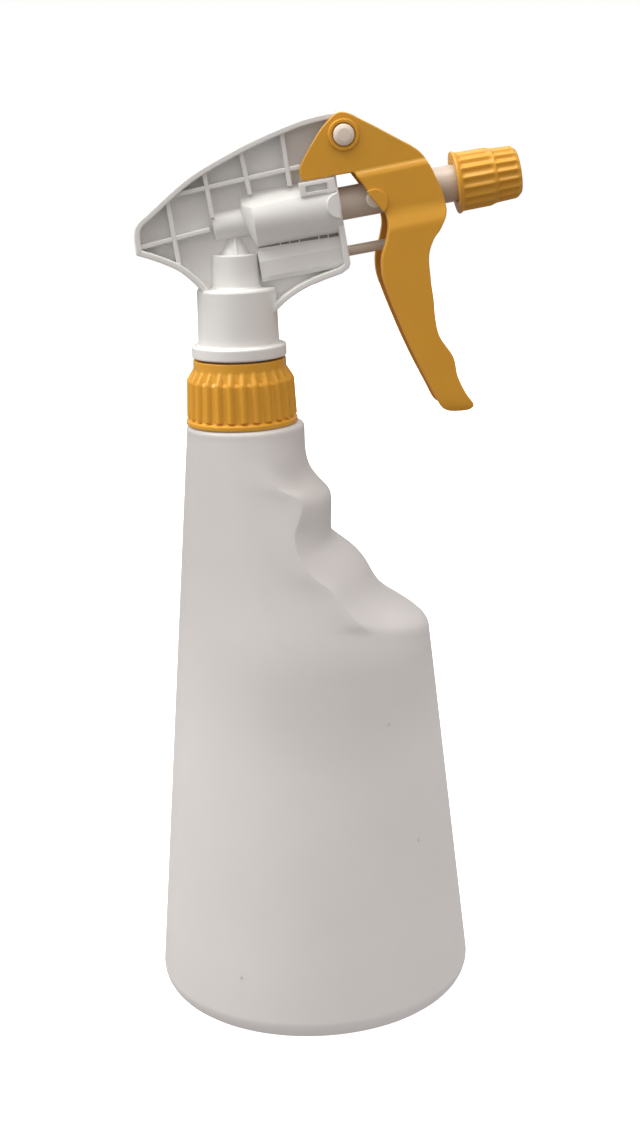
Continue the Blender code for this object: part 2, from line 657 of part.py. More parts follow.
# ---- Nozzle and vent -----------------------------------------------------------------------------
def make_nozzle(mat, rubber):
    """Turning nozzle cap and the washer it carries."""
    front = CAP_END_S
    profile = [(CAP_BORE_R, CAP_S), (8.4, CAP_S), (8.9, CAP_S + 0.5), (8.9, CAP_S + 1.6),
               (8.2, CAP_S + 2.2), (8.0, 42.0), (7.9, 43.2), (7.5, 43.8), (7.2, front - 1.6),
               (6.2, front - 0.6), (4.6, front), (2.2, front), (0.6, front - 1.8), (0.6, 48.0),
               (CAP_BORE_R, 48.0)]
    turned("nozzle_cap", profile, mat, BARREL, (0, 0, 0), "X")
    turned("cap_washer", ring_profile(1.8, CAP_BORE_R - GAP, STEM_END_S + GAP, 48.0 - GAP), rubber,
           BARREL, (0, 0, 0), "X")


def make_vent(cream, rubber):
    """Vent rod that opens the bottle to air, with the seal on its inner end."""
    tip = VENT_PAD_S - GAP
    rod = [(0, -9.0)] + [(1.1, -9.0), (1.1, -6.4), (1.5, -6.4), (1.5, tip - 1.5)]
    turned("vent_rod", rod + dome(1.5, tip - 1.5, 90, 0, 4), cream, BARREL, (0, 0, VENT_V), "X", 20)
    turned("vent_seal", ring_profile(1.3, VENT_BORE_R - 0.15, -8.6, -6.7), rubber, BARREL,
           (0, 0, VENT_V), "X", 20)


clear_scene()
PARTS = new_collection("spray_bottle")
TOOLS = new_collection("cutters")
NECK = new_frame("neck_frame", (NECK_X, 0, 0), 0.0)
BARREL = new_frame("barrel_frame", (BARREL_X, 0, BARREL_Z), BARREL_TILT, NECK)

bottle_plastic = plastic("bottle_plastic", (0.78, 0.75, 0.74), 0.5, 0.9)
yellow_plastic = plastic("yellow_plastic", (0.85, 0.47, 0.05), 0.45)
white_plastic = plastic("white_plastic", (0.9, 0.9, 0.88), 0.4)
cream_plastic = plastic("cream_plastic", (0.88, 0.87, 0.82), 0.4)
clear_plastic = plastic("clear_plastic", (0.85, 0.86, 0.86), 0.3, 0.6)
seal_rubber = plastic("seal_rubber", (0.12, 0.12, 0.13), 0.7)
spring_steel = steel("spring_steel", (0.6, 0.6, 0.62), 0.3)

make_bottle(bottle_plastic)
make_pump_body(white_plastic)
make_head_fittings(cream_plastic, clear_plastic, seal_rubber)
make_collar(yellow_plastic)
make_trigger(yellow_plastic)
make_plunger(cream_plastic, seal_rubber, spring_steel)
make_ball("intake_ball", 2.4, spring_steel, NECK, (0, 0, 217.8))
make_ball("discharge_ball", 2.1, spring_steel, BARREL, (28.3, 0, 0))
make_nozzle(yellow_plastic, seal_rubber)
make_vent(cream_plastic, seal_rubber)
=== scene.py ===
"""Looks of the trigger spray bottle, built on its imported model.

Shapes are drawn in millimetres in two local frames, then placed in metres.  The neck frame has its
origin on the floor under the neck axis; the barrel frame has its origin in the mouth of the pump
barrel, with local X along the barrel towards the nozzle.  A shape is a pair (points, faces).
"""
import json
import math

import bmesh
import bpy
from mathutils import Matrix, Vector


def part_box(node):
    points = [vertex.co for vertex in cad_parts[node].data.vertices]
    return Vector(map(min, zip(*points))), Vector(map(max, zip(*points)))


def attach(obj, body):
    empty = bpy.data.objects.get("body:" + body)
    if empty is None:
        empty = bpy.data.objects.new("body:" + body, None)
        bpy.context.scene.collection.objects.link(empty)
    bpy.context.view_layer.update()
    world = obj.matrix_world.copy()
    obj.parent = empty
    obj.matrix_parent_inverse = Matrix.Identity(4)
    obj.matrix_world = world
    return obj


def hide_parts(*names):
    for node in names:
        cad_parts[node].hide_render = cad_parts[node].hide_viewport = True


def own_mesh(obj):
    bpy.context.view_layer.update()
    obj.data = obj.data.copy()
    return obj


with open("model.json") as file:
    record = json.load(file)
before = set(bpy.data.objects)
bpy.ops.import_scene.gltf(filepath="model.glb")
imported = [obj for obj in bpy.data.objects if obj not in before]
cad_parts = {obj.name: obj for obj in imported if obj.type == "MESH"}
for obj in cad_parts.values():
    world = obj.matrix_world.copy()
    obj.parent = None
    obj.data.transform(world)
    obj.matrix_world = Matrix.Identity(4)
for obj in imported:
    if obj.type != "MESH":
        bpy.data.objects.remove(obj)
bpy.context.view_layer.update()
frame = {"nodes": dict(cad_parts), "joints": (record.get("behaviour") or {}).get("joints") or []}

MM = 0.001
TURN = 2.0 * math.pi

# ---- Local frames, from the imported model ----
JOINTS = {joint["name"]: joint for joint in frame["joints"]}
NOZZLE_MARK = 40.0        # distance from the barrel's mouth to the nozzle joint's point


def collar_axis_x():
    """World X of the neck axis, from the screw collar's box."""
    low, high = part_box("screw_collar")
    return (low.x + high.x) / 2


def barrel_matrix():
    """World matrix of the barrel frame, from the nozzle's turning axis."""
    along = Vector(JOINTS["nozzle_turn"]["axis"]).normalized()
    mouth = Vector(JOINTS["nozzle_turn"]["pos_m"]) - along * NOZZLE_MARK * MM
    up = Vector((-along.z, 0.0, along.x))
    turn = Matrix((along, (0.0, 1.0, 0.0), up)).transposed()
    return Matrix.Translation(mouth) @ turn.to_4x4()


NECK = Matrix.Translation((collar_axis_x(), 0.0, 0.0))
BARREL = barrel_matrix()
PIVOT = NECK.inverted() @ Vector(JOINTS["trigger_pull"]["pos_m"]) / MM


# ---- Outlines ----
def signed_area(points):
    """Area of a closed outline, positive when it runs counter-clockwise."""
    total = 0.0
    for (x0, z0), (x1, z1) in zip(points, points[1:] + points[:1]):
        total += x0 * z1 - x1 * z0
    return total / 2


def smooth_path(points, steps=6):
    """A Catmull-Rom curve through the points, ends included."""
    padded = [points[0]] + list(points) + [points[-1]]
    path = []
    for p0, p1, p2, p3 in zip(padded, padded[1:], padded[2:], padded[3:]):
        for i in range(steps):
            t = i / steps
            path.append(tuple(
                0.5 * (2 * b + (c - a) * t + (2 * a - 5 * b + 4 * c - d) * t * t
                       + (3 * b - a - 3 * c + d) * t ** 3)
                for a, b, c, d in zip(p0, p1, p2, p3)))
    path.append(tuple(points[-1]))
    return path


def curve_at(value, table):
    """Smooth interpolation in a table of (key, value) rows with rising keys."""
    if value <= table[0][0]:
        return table[0][1]
    if value >= table[-1][0]:
        return table[-1][1]
    i = max(k for k in range(len(table) - 1) if table[k][0] <= value)
    (k0, v0), (k1, v1) = table[i], table[i + 1]
    before = table[max(i - 1, 0)]
    after = table[min(i + 2, len(table) - 1)]
    slope0 = (v1 - before[1]) / (k1 - before[0])
    slope1 = (after[1] - v0) / (after[0] - k0)
    t = (value - k0) / (k1 - k0)
    span = k1 - k0
    return ((2 * t ** 3 - 3 * t ** 2 + 1) * v0 + (t ** 3 - 2 * t ** 2 + t) * span * slope0
            + (3 * t ** 2 - 2 * t ** 3) * v1 + (t ** 3 - t ** 2) * span * slope1)


def fillet(points, radius, closed=True, steps=4):
    """The outline with each corner rounded by up to a radius."""
    rounded = []
    count = len(points)
    for i, point in enumerate(points):
        if not closed and i in (0, count - 1):
            rounded.append(tuple(point))
            continue
        here = Vector(point)
        back = Vector(points[i - 1]) - here
        ahead = Vector(points[(i + 1) % count]) - here
        if min(back.length, ahead.length) < 1e-6 or back.angle(ahead) > math.radians(172):
            rounded.append(tuple(point))
            continue
        reach = radius / math.tan(back.angle(ahead) / 2)
        reach = min(reach, back.length * 0.45, ahead.length * 0.45)
        start, end = here + back.normalized() * reach, here + ahead.normalized() * reach
        for step in range(steps + 1):
            t = step / steps
            rounded.append(tuple((1 - t) ** 2 * start + 2 * t * (1 - t) * here + t * t * end))
    return rounded


def offset(points, distance, closed=True):
    """The path moved to its left by a distance, with mitred corners."""
    moved = []
    count = len(points)
    for i in range(count):
        here = Vector(points[i])
        before = Vector(points[(i - 1) % count]) if closed or i > 0 else None
        after = Vector(points[(i + 1) % count]) if closed or i < count - 1 else None
        ways = []
        if before is not None and (here - before).length > 1e-9:
            ways.append((here - before).normalized())
        if after is not None and (after - here).length > 1e-9:
            ways.append((after - here).normalized())
        normals = [Vector((-way.y, way.x)) for way in ways]
        mean = sum(normals, Vector((0.0, 0.0)))
        mean = mean.normalized() if mean.length > 1e-6 else normals[0]
        stretch = 1.0 / max(0.5, mean.dot(normals[0]))
        moved.append(tuple(here + mean * distance * stretch))
    return moved


def inset(points, distance):
    """The closed outline shrunk by a distance."""
    return offset(points, distance if signed_area(points) > 0 else -distance)


def arc(cx, cz, radius, start, end, steps):
    """Points on a circle between two angles in degrees."""
    angles = [math.radians(start + (end - start) * i / steps) for i in range(steps + 1)]
    return [(cx + radius * math.cos(a), cz + radius * math.sin(a)) for a in angles]


def bar(start, end, width):
    """Outline of a straight bar between two points."""
    return (offset([start, end], width / 2, False)
            + offset([start, end], -width / 2, False)[::-1])


def to_neck(s, v):
    """Barrel-frame (s, v) as neck-frame (x, z)."""
    point = NECK.inverted() @ BARREL @ Vector((s * MM, 0.0, v * MM)) / MM
    return point.x, point.z


# ---- Shapes ----
def skin(rows, capped=True, looped=False):
    """Faces between equal closed rings of points; looped joins the last ring to the first."""
    points = [point for row in rows for point in row]
    width = len(rows[0])
    faces = []
    last = len(rows) if looped else len(rows) - 1
    for i in range(last):
        low, high = i * width, (i + 1) % len(rows) * width
        for j in range(width):
            k = (j + 1) % width
            faces.append((low + j, low + k, high + k, high + j))
    if capped and not looped:
        faces.append(tuple(range(width))[::-1])
        faces.append(tuple(range((len(rows) - 1) * width, len(rows) * width)))
    return points, faces


def turned(profile, place=(0, 0, 0), along="Z", steps=64, ripple=None, looped=False):
    """A turned solid from (radius, height) points; ripple(angle, radius, height) edits radii."""
    rows = []
    for radius, height in profile:
        row = []
        for i in range(steps):
            angle = TURN * i / steps
            r = ripple(angle, radius, height) if ripple else radius
            across, aside = r * math.cos(angle), r * math.sin(angle)
            local = {"Z": (across, aside, height), "X": (height, aside, across),
                     "Y": (across, height, aside)}[along]
            row.append(tuple(a + b for a, b in zip(local, place)))
        rows.append(row)
    return skin(rows, capped=not looped, looped=looped)


def ring_section(inner, outer, low, high):
    """A plain ring's (radius, height) section."""
    return [(inner, low), (outer, low), (outer, high), (inner, high)]


def rod(radius, low, high, place=(0, 0, 0), along="Z", edge=0.4, steps=48):
    """A plain rod with rounded rims."""
    profile = [(0.001, low), (radius, low), (radius, high), (0.001, high)]
    return turned(fillet(profile, edge, False), place, along, steps)


def plate(outline, low, high, edge=0.35, edge_steps=3):
    """A flat outline in X and Z, thick from low to high in Y, with rounded rims."""
    rows = []
    levels = [90 * k / edge_steps for k in range(edge_steps + 1)]
    for degrees in levels:
        shrink = edge * (1 - math.sin(math.radians(degrees)))
        rise = edge * (1 - math.cos(math.radians(degrees)))
        rows.append([(x, low + rise, z) for x, z in inset(outline, shrink)])
    for degrees in levels[::-1]:
        shrink = edge * (1 - math.sin(math.radians(degrees)))
        rise = edge * (1 - math.cos(math.radians(degrees)))
        rows.append([(x, high - rise, z) for x, z in inset(outline, shrink)])
    return skin(rows)


def stack(levels):
    """Equal outlines at rising Y, as (outline, y) pairs, joined and capped."""
    return skin([[(x, y, z) for x, z in outline] for outline, y in levels])


def ribbon(path, half_width, thickness, closed=False, edge=0.3):
    """A strip swept along a path in X and Z; its thickness grows to the path's left."""
    section = fillet([(0, -half_width), (thickness, -half_width),
                      (thickness, half_width), (0, half_width)], edge, steps=3)
    rails = [(offset(path, depth, closed), y) for depth, y in section]
    rows = [[(rail[i][0], y, rail[i][1]) for rail, y in rails] for i in range(len(path))]
    return skin(rows, capped=not closed, looped=closed)


def prism(section, start, end, edge=0.4):
    """A closed (y, v) section run along the barrel, with rounded ends."""
    levels = []
    for degrees in (0, 30, 60, 90):
        shrink = edge * (1 - math.sin(math.radians(degrees)))
        rise = edge * (1 - math.cos(math.radians(degrees)))
        levels.append((shrink, rise))
    rows = [[(start + rise, y, v) for y, v in inset(section, shrink)] for shrink, rise in levels]
    rows += [[(end - rise, y, v) for y, v in inset(section, shrink)]
             for shrink, rise in levels[::-1]]
    return skin(rows)


def mirrored(shape):
    """The shape and its mirror image in Y."""
    points, faces = shape
    return [shape, ([(x, -y, z) for x, y, z in points], faces)]


def coil(radius, wire, start, end, turns, steps=24, ring=8):
    """A helical spring along local X."""
    rows = []
    count = turns * steps
    for i in range(count + 1):
        angle = TURN * i / steps
        s = start + (end - start) * i / count
        out = Vector((0.0, math.cos(angle), math.sin(angle)))
        rows.append([tuple(Vector((s, 0, 0)) + out * (radius + wire * math.cos(TURN * k / ring))
                           + Vector((wire * math.sin(TURN * k / ring), 0, 0)))
                     for k in range(ring)])
    return skin(rows)


def piece(name, shapes, mat, body, stands_for=(), crisp=38.0):
    """One mesh object from (frame matrix, shape) pairs, shaded round with crisp edges."""
    bm = bmesh.new()
    for matrix, (points, faces) in shapes:
        verts = [bm.verts.new(matrix @ (Vector(point) * MM)) for point in points]
        for face in faces:
            bm.faces.new([verts[i] for i in face])
    bmesh.ops.remove_doubles(bm, verts=bm.verts, dist=1e-7)
    bmesh.ops.recalc_face_normals(bm, faces=bm.faces)
    mesh = bpy.data.meshes.new(name)
    bm.to_mesh(mesh)
    bm.free()
    mesh.shade_smooth()
    mesh.set_sharp_from_angle(angle=math.radians(crisp))
    mesh.materials.append(mat)
    obj = bpy.data.objects.new(name, mesh)
    bpy.context.scene.collection.objects.link(obj)
    flatter = obj.modifiers.new("flat_faces_stay_flat", "WEIGHTED_NORMAL")
    flatter.keep_sharp = True
    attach(obj, body)
    if stands_for:
        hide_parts(*stands_for)
    return obj


# ---- Materials ----
NOISE_LOW = 0.3           # nearly all of a noise texture's values lie between these
NOISE_HIGH = 0.7
GLOSS_MM = 7.0            # size of the patches of uneven gloss
PLASTIC_IOR = 1.49
SPECK_GAP_MM = 16.0       # typical distance between specks


def add_node(tree, kind, **inputs):
    """A node with named input values; an underscore in a name stands for a space."""
    node = tree.nodes.new(kind)
    for key, value in inputs.items():
        node.inputs[key.replace("_", " ")].default_value = value
    return node


def noise(tree, coords, size_mm, detail=3.0):
    """A noise texture whose features are about size_mm wide."""
    node = add_node(tree, "ShaderNodeTexNoise", Scale=1.0 / (size_mm * MM), Detail=detail)
    tree.links.new(coords, node.inputs["Vector"])
    return node.outputs["Fac"]


def spread(tree, source, low, high):
    """A noise value as a value between low and high."""
    node = add_node(tree, "ShaderNodeMapRange", From_Min=NOISE_LOW, From_Max=NOISE_HIGH,
                    To_Min=low, To_Max=high)
    tree.links.new(source, node.inputs["Value"])
    return node.outputs["Result"]


def moulded(name, colour, deep, roughness, glow=0.0, glow_radius=(4, 3, 2), grain=0.6,
            relief=0.02, tone_size=22.0, speck=0.0):
    """Moulded plastic: cloudy tone, faint orange-peel relief, uneven gloss and optional specks."""
    mat = bpy.data.materials.new(name)
    mat.use_nodes = True
    tree = mat.node_tree
    shader = tree.nodes["Principled BSDF"]
    coords = tree.nodes.new("ShaderNodeTexCoord").outputs["Object"]
    tone = add_node(tree, "ShaderNodeMix")
    tone.data_type = "RGBA"
    tone.inputs["A"].default_value = (*deep, 1.0)
    tone.inputs["B"].default_value = (*colour, 1.0)
    cloud = spread(tree, noise(tree, coords, tone_size), 0.0, 1.0)
    tree.links.new(cloud, tone.inputs["Factor"])
    surface = tone.outputs["Result"]
    if speck > 0:
        surface = specked(tree, coords, surface, speck)
    tree.links.new(surface, shader.inputs["Base Color"])
    gloss = spread(tree, noise(tree, coords, GLOSS_MM), roughness - 0.05, roughness + 0.06)
    tree.links.new(gloss, shader.inputs["Roughness"])
    bump = add_node(tree, "ShaderNodeBump", Strength=0.35, Distance=relief * MM)
    tree.links.new(noise(tree, coords, grain, 2.0), bump.inputs["Height"])
    tree.links.new(bump.outputs["Normal"], shader.inputs["Normal"])
    shader.inputs["IOR"].default_value = PLASTIC_IOR
    shader.inputs["Subsurface Weight"].default_value = glow
    shader.inputs["Subsurface Radius"].default_value = [r * MM for r in glow_radius]
    shader.inputs["Subsurface Scale"].default_value = 1.0
    mat.diffuse_color = (*colour, 1.0)
    return mat


def specked(tree, coords, surface, amount):
    """A few small grey specks, as in recycled or natural resin."""
    cells = add_node(tree, "ShaderNodeTexVoronoi", Scale=1.0 / (SPECK_GAP_MM * MM))
    tree.links.new(coords, cells.inputs["Vector"])
    spot = add_node(tree, "ShaderNodeMapRange", From_Min=0.02, From_Max=0.05,
                    To_Min=amount, To_Max=0.0)
    tree.links.new(cells.outputs["Distance"], spot.inputs["Value"])
    mix = add_node(tree, "ShaderNodeMix")
    mix.data_type = "RGBA"
    mix.inputs["B"].default_value = (0.28, 0.27, 0.27, 1.0)
    tree.links.new(spot.outputs["Result"], mix.inputs["Factor"])
    tree.links.new(surface, mix.inputs["A"])
    return mix.outputs["Result"]


def painted_glow(mat, low_glow, high_glow, low_z, high_z):
    """Painted glow: the surface emits its own colour, one strength below, another above, in place
    of light scattered in a milky wall.
    """
    tree = mat.node_tree
    shader = tree.nodes["Principled BSDF"]
    surface = shader.inputs["Base Color"].links[0].from_socket
    tree.links.new(surface, shader.inputs["Emission Color"])
    split = tree.nodes.new("ShaderNodeSeparateXYZ")
    coords = tree.nodes.new("ShaderNodeTexCoord").outputs["Object"]
    tree.links.new(coords, split.inputs["Vector"])
    fall = add_node(tree, "ShaderNodeMapRange", From_Min=low_z * MM, From_Max=high_z * MM,
                    To_Min=low_glow, To_Max=high_glow)
    tree.links.new(split.outputs["Z"], fall.inputs["Value"])
    tree.links.new(fall.outputs["Result"], shader.inputs["Emission Strength"])


def rubber(name, colour):
    """Matt seal rubber with a bloomed, uneven surface."""
    return moulded(name, colour, tuple(c * 0.7 for c in colour), 0.62, grain=0.3, relief=0.05,
                   tone_size=2.0)


def drawn_steel(name):
    """Bright drawn wire and valve balls."""
    mat = moulded(name, (0.62, 0.62, 0.63), (0.5, 0.5, 0.52), 0.24, grain=0.15, relief=0.01,
                  tone_size=3.0)
    mat.node_tree.nodes["Principled BSDF"].inputs["Metallic"].default_value = 1.0
    return mat


BOTTLE_MAT = moulded("milky_polyethylene", (0.54, 0.52, 0.511), (0.52, 0.501, 0.492), 0.42,
                     glow=0.3, glow_radius=(2.5, 2.5, 2.5), grain=1.6, relief=0.05,
                     tone_size=34.0, speck=0.5)
# Painted glow on the bottle: it emits its own colour, strongest below 80 mm and weaker above 140
# mm.
painted_glow(BOTTLE_MAT, low_glow=0.405, high_glow=0.16, low_z=80.0, high_z=140.0)
WHITE_MAT = moulded("white_polypropylene", (0.855, 0.85, 0.835), (0.825, 0.82, 0.805), 0.36,
                    glow=0.12, glow_radius=(0.7, 0.6, 0.5), grain=0.9)
CREAM_MAT = moulded("cream_acetal", (0.85, 0.74, 0.64), (0.81, 0.70, 0.60), 0.34,
                    glow=0.12, glow_radius=(1.6, 1.2, 0.9), grain=0.9)
YELLOW_MAT = moulded("yellow_polypropylene", (0.77, 0.385, 0.032), (0.735, 0.36, 0.028), 0.34,
                     glow=0.15, glow_radius=(1.6, 0.7, 0.2), grain=0.9)
STEM_MAT = moulded("natural_acetal", (0.65, 0.565, 0.48), (0.61, 0.53, 0.45), 0.3,
                   glow=0.12, glow_radius=(1.6, 1.2, 0.9), grain=0.9)
# Painted shade: a dark brown-grey for the shadowed slit between the barrel and the vent tube.
SHADE_MAT = moulded("painted_shade_recess", (0.32, 0.28, 0.245), (0.24, 0.205, 0.18), 0.6,
                    tone_size=3.0)
CLEAR_MAT = moulded("natural_tube", (0.82, 0.82, 0.80), (0.78, 0.78, 0.77), 0.3, glow=0.4,
                    glow_radius=(2, 2, 2))
RUBBER_MAT = rubber("black_seal_rubber", (0.035, 0.035, 0.038))
STEEL_MAT = drawn_steel("stainless_steel")


# ---- Bottle ----
BODY_X = 15.8             # axis of the round lower body
BASE_R = 47.6
HEEL_R = 7.0
SIDE_TAPER = 0.0925       # loss of radius for each millimetre of height
BELLY_Z = 112.0           # top of the plain round cone at the front
BLEND_Z = 98.0            # where the sides start to draw in
LOWER_STEP = 15.0         # height between sections of the plain cone
LOWER_STEPS = 6
HEEL_STEPS = 8
UPPER_STEPS = 66          # from there to the shoulder's crest
INNER_SKIP = 6            # the unseen inside takes every sixth of them
TOP_Z = 174.9             # crest of the shoulder
NECK_R = 12.4
NECK_BORE_R = 10.9
NECK_TOP_Z = 190.4
BORE_LOW_Z = 175.5        # the bore opens out below this
WALL = 1.3
# Half width above the plain cone, and the front edge where the grip is cut, as (height, value).
HALF_WIDTH = [(90, 39.9), (98, 39.2), (106, 38.35), (112, 37.5), (118, 36.1), (124, 34.2),
              (130, 32.1), (140, 28.7), (150, 25.3), (160, 22.0), (168, 19.4), (174.9, 17.3)]
FRONT_EDGE = [(109, 54.0), (113.2, 53.6), (115.2, 52.8), (117.4, 50.3), (121.5, 44.2),
              (125.5, 39.8), (129.5, 37.2), (133.5, 35.1), (137, 32.3), (141, 27.4),
              (142.6, 25.6), (145, 25.0), (150, 25.2), (154.5, 25.2), (156, 24.7),
              (160, 21.3), (163.5, 19.2), (168, 18.2), (174.9, 18.1)]
# Where the grip's crease runs round the side, in degrees from the front.
CREASE_ANGLE = [(113, 40), (116.4, 50), (121.5, 61), (126.4, 66), (132.7, 69.5), (137.4, 77),
                (143, 80), (148.4, 78), (152.5, 71), (156, 65.5), (158.3, 67), (160.7, 77),
                (167.7, 84), (174.9, 88)]
CREASE_TOP_Z = 168.5      # the crease fades out up to here
CREASE_FADE = 7.0
GRIP_LAG = 3.0            # the cut starts this much higher at the crease than at the front
LAG_TOP_Z = 142.0         # and no higher from here up
LAG_FADE = 10.0
KEEN_POWER = 2.6          # how late the crease's part of the cut gives way to the side
BEAD_RISE = [(113, 0.8), (135, 0.8), (145, 0.5), (168, 0.35)]    # the ridge along the crease
BEAD_NOSE = 2.2           # its reach towards the nose
BEAD_BACK = 6.0           # its reach towards the back
BEAD_CUT = 2.5            # depth of the cut at which it is whole
CREASE_KEEN = 0.7         # share of the cut that meets the side in a crease, not in a curve
NOSE_COLUMNS = 26
BACK_COLUMNS = 46
BACK_CROWDING = 1.25      # above 1, the columns behind the crease stand closer to it
SHOULDER = [(0.85, 17.2, 175.7), (0.8, 16.9, 176.2), (0.65, 16.4, 176.6), (0.4, 15.4, 176.8),
            (0.1, 13.6, 176.9), (0.0, NECK_R, 176.9)]    # (axis x, radius, height)


def plain_radius(z):
    """Radius of the bottle's plain cone at a height."""
    return BASE_R - SIDE_TAPER * (z - HEEL_R)


def taper(z):
    """Axis x and radius of the uncut bottle at a height; its back edge is straight."""
    plain = plain_radius(z)
    if z <= BLEND_Z:
        return BODY_X, plain
    radius = curve_at(z, HALF_WIDTH)
    return BODY_X - plain + radius, radius


def front_depth(z):
    """How far the front edge lies behind the uncut section; negative where it stands proud."""
    axis_x, radius = taper(z)
    front = BODY_X + plain_radius(z) if z <= BELLY_Z else curve_at(z, FRONT_EDGE)
    return axis_x + radius - front


def grip_cut(z, share):
    """Depth of the grip at a share of the way from the front to the crease."""
    level = z - GRIP_LAG * share ** 2 * min(1.0, max(0.0, (LAG_TOP_Z - z) / LAG_FADE))
    depth = front_depth(level)
    keen, soft = 1 - share ** KEEN_POWER, (1 - share ** 2) ** 2
    fade = min(1.0, max(0.0, (CREASE_TOP_Z - z) / CREASE_FADE)) if depth > 0 else 0.0
    return depth * (soft + (keen - soft) * CREASE_KEEN * fade)


def bottle_ring(z, shrink=0.0, height=None):
    """One section of the bottle, with a column of points on the crease."""
    axis_x, radius = taper(z)
    crease = math.radians(curve_at(z, CREASE_ANGLE))
    fade = min(1.0, max(0.0, (CREASE_TOP_Z - z) / CREASE_FADE))
    cut = min(1.0, max(0.0, front_depth(z - GRIP_LAG)) / BEAD_CUT)
    bead = curve_at(z, BEAD_RISE) * fade * cut
    half = []
    for i in range(NOSE_COLUMNS):
        share = i / NOSE_COLUMNS
        half.append((crease * share, radius - grip_cut(z, share)))
    for i in range(BACK_COLUMNS + 1):
        share = (i / BACK_COLUMNS) ** BACK_CROWDING
        half.append((crease + (math.pi - crease) * share, radius))
    ring = []
    for angle, reach in half:
        gap = (angle - crease) * radius
        spread_over = BEAD_BACK if gap > 0 else BEAD_NOSE
        reach += bead * math.exp(-(gap / spread_over) ** 2) - shrink
        ring.append((axis_x + reach * math.cos(angle), -reach * math.sin(angle),
                     z if height is None else height))
    return ring + [(x, -y, h) for x, y, h in ring[-2:0:-1]]


def round_ring(axis_x, radius, z, like):
    """A round section, with as many points as another ring."""
    middle = taper(TOP_Z)[0]
    ring = []
    for x, y, _ in like:
        angle = math.atan2(y, x - middle)
        ring.append((axis_x + radius * math.cos(angle), radius * math.sin(angle), z))
    return ring


def heel_rings(shrink, low):
    """Sections of the rounded heel, from the standing face up."""
    rings = []
    radius = HEEL_R - shrink
    for step in range(HEEL_STEPS + 1):
        angle = math.radians(90 * step / HEEL_STEPS)
        rings.append(bottle_ring(HEEL_R, shrink + radius * (1 - math.sin(angle)),
                                 low + radius * (1 - math.cos(angle))))
    return rings


THREAD_LOW_Z = 180.2
THREAD_PITCH = 3.2
THREAD_TURNS = 1.9
THREAD_HALF = 1.1         # half width at the foot, and the thread's height
THREAD_CREST = 0.35       # half width at the crest
THREAD_SINK = 0.2         # the foot lies this deep in the neck


def neck_thread(steps=40):
    """The helical thread on the neck, fading in and out."""
    rows = []
    count = int(THREAD_TURNS * steps)
    for i in range(count + 1):
        angle = TURN * i / steps
        share = i / count
        top = NECK_R + THREAD_HALF * min(1.0, 8 * share, 8 * (1 - share))
        foot = NECK_R - THREAD_SINK
        z = THREAD_LOW_Z + THREAD_PITCH * i / steps
        section = [(foot, -THREAD_HALF), (top, -THREAD_CREST), (top, THREAD_CREST),
                   (foot, THREAD_HALF)]
        rows.append([(r * math.cos(angle), r * math.sin(angle), z + dz) for r, dz in section])
    return skin(rows)


def make_bottle():
    """Blown bottle in one skin: outside, shoulder, neck, lip and inside, with its thread."""
    lower = [HEEL_R + 0.01 + k * LOWER_STEP for k in range(1, LOWER_STEPS + 1)]
    upper = [BLEND_Z + k * (TOP_Z - BLEND_Z) / UPPER_STEPS for k in range(UPPER_STEPS + 1)]
    outside = heel_rings(0.0, 0.0) + [bottle_ring(z) for z in lower + upper]
    like = outside[-1]
    neck = [(NECK_R, NECK_TOP_Z - 0.4), (NECK_R - 0.4, NECK_TOP_Z),
            (NECK_BORE_R + 0.4, NECK_TOP_Z), (NECK_BORE_R, NECK_TOP_Z - 0.4),
            (NECK_BORE_R, BORE_LOW_Z)]
    shoulder = [round_ring(x, r, z, like) for x, r, z in SHOULDER]
    shoulder += [round_ring(0.0, r, z, like) for r, z in neck]
    inside = [bottle_ring(z, WALL) for z in upper[-3::-INNER_SKIP] + lower[::-1]]
    inside += heel_rings(WALL, WALL)[::-1]
    shapes = [(NECK, skin(outside + shoulder + inside)), (NECK, neck_thread())]
    piece("bottle_shell", shapes, BOTTLE_MAT, "bottle", ["bottle"], crisp=50.0)


# ---- Screw collar ----
COLLAR_BASE_Z = 177.0
COLLAR_TOP_Z = 195.7
COLLAR_BORE_R = 13.9
COLLAR_RIM_R = 16.2
COLLAR_RIBS = 26
RIB_HALF = 1.25           # half width of a rib at its foot
RIB_LOW_Z = 178.9
RIB_BEND_Z = 189.9        # above this the ribs' crests slope in
RIB_TOP_Z = 193.0
RIB_DRAW_IN = 0.4         # share of a rib's width lost from the bend to its top
LOW_WALL_R = 14.2         # ribs grow from what lies outside this, below the bend
HIGH_WALL_R = 13.2        # and outside this above it
WALL_CHANGE_Z = RIB_BEND_Z - 0.7
RIB_COLUMNS = 14          # columns of points for each rib
COLLAR_STEP = 0.4         # height between the collar's sections
CREST = [(RIB_LOW_Z, 16.1), (RIB_BEND_Z, 15.6), (RIB_TOP_Z, 13.65)]    # (height, radius)


def straight_at(value, table):
    """Straight-line interpolation in a table of (key, value) rows with rising keys."""
    for (k0, v0), (k1, v1) in zip(table, table[1:]):
        if value <= k1:
            return v0 + (v1 - v0) * max(0.0, value - k0) / (k1 - k0)
    return table[-1][1]


def collar_ripple(angle, radius, height):
    """Round ribs on the collar's body, which stand above it as fins with sloping tops."""
    wall = LOW_WALL_R if height < WALL_CHANGE_Z else HIGH_WALL_R
    if radius <= wall or not RIB_LOW_Z < height < RIB_TOP_Z:
        return radius
    pitch = TURN / COLLAR_RIBS
    aside = abs((angle / pitch) % 1.0 - 0.5) * pitch * radius
    climb = max(0.0, height - RIB_BEND_Z) / (RIB_TOP_Z - RIB_BEND_Z)
    half = RIB_HALF * (1 - RIB_DRAW_IN * climb)
    share = math.cos(math.pi / 2 * min(1.0, aside / half))
    return radius + max(0.0, straight_at(height, CREST) - radius) * share


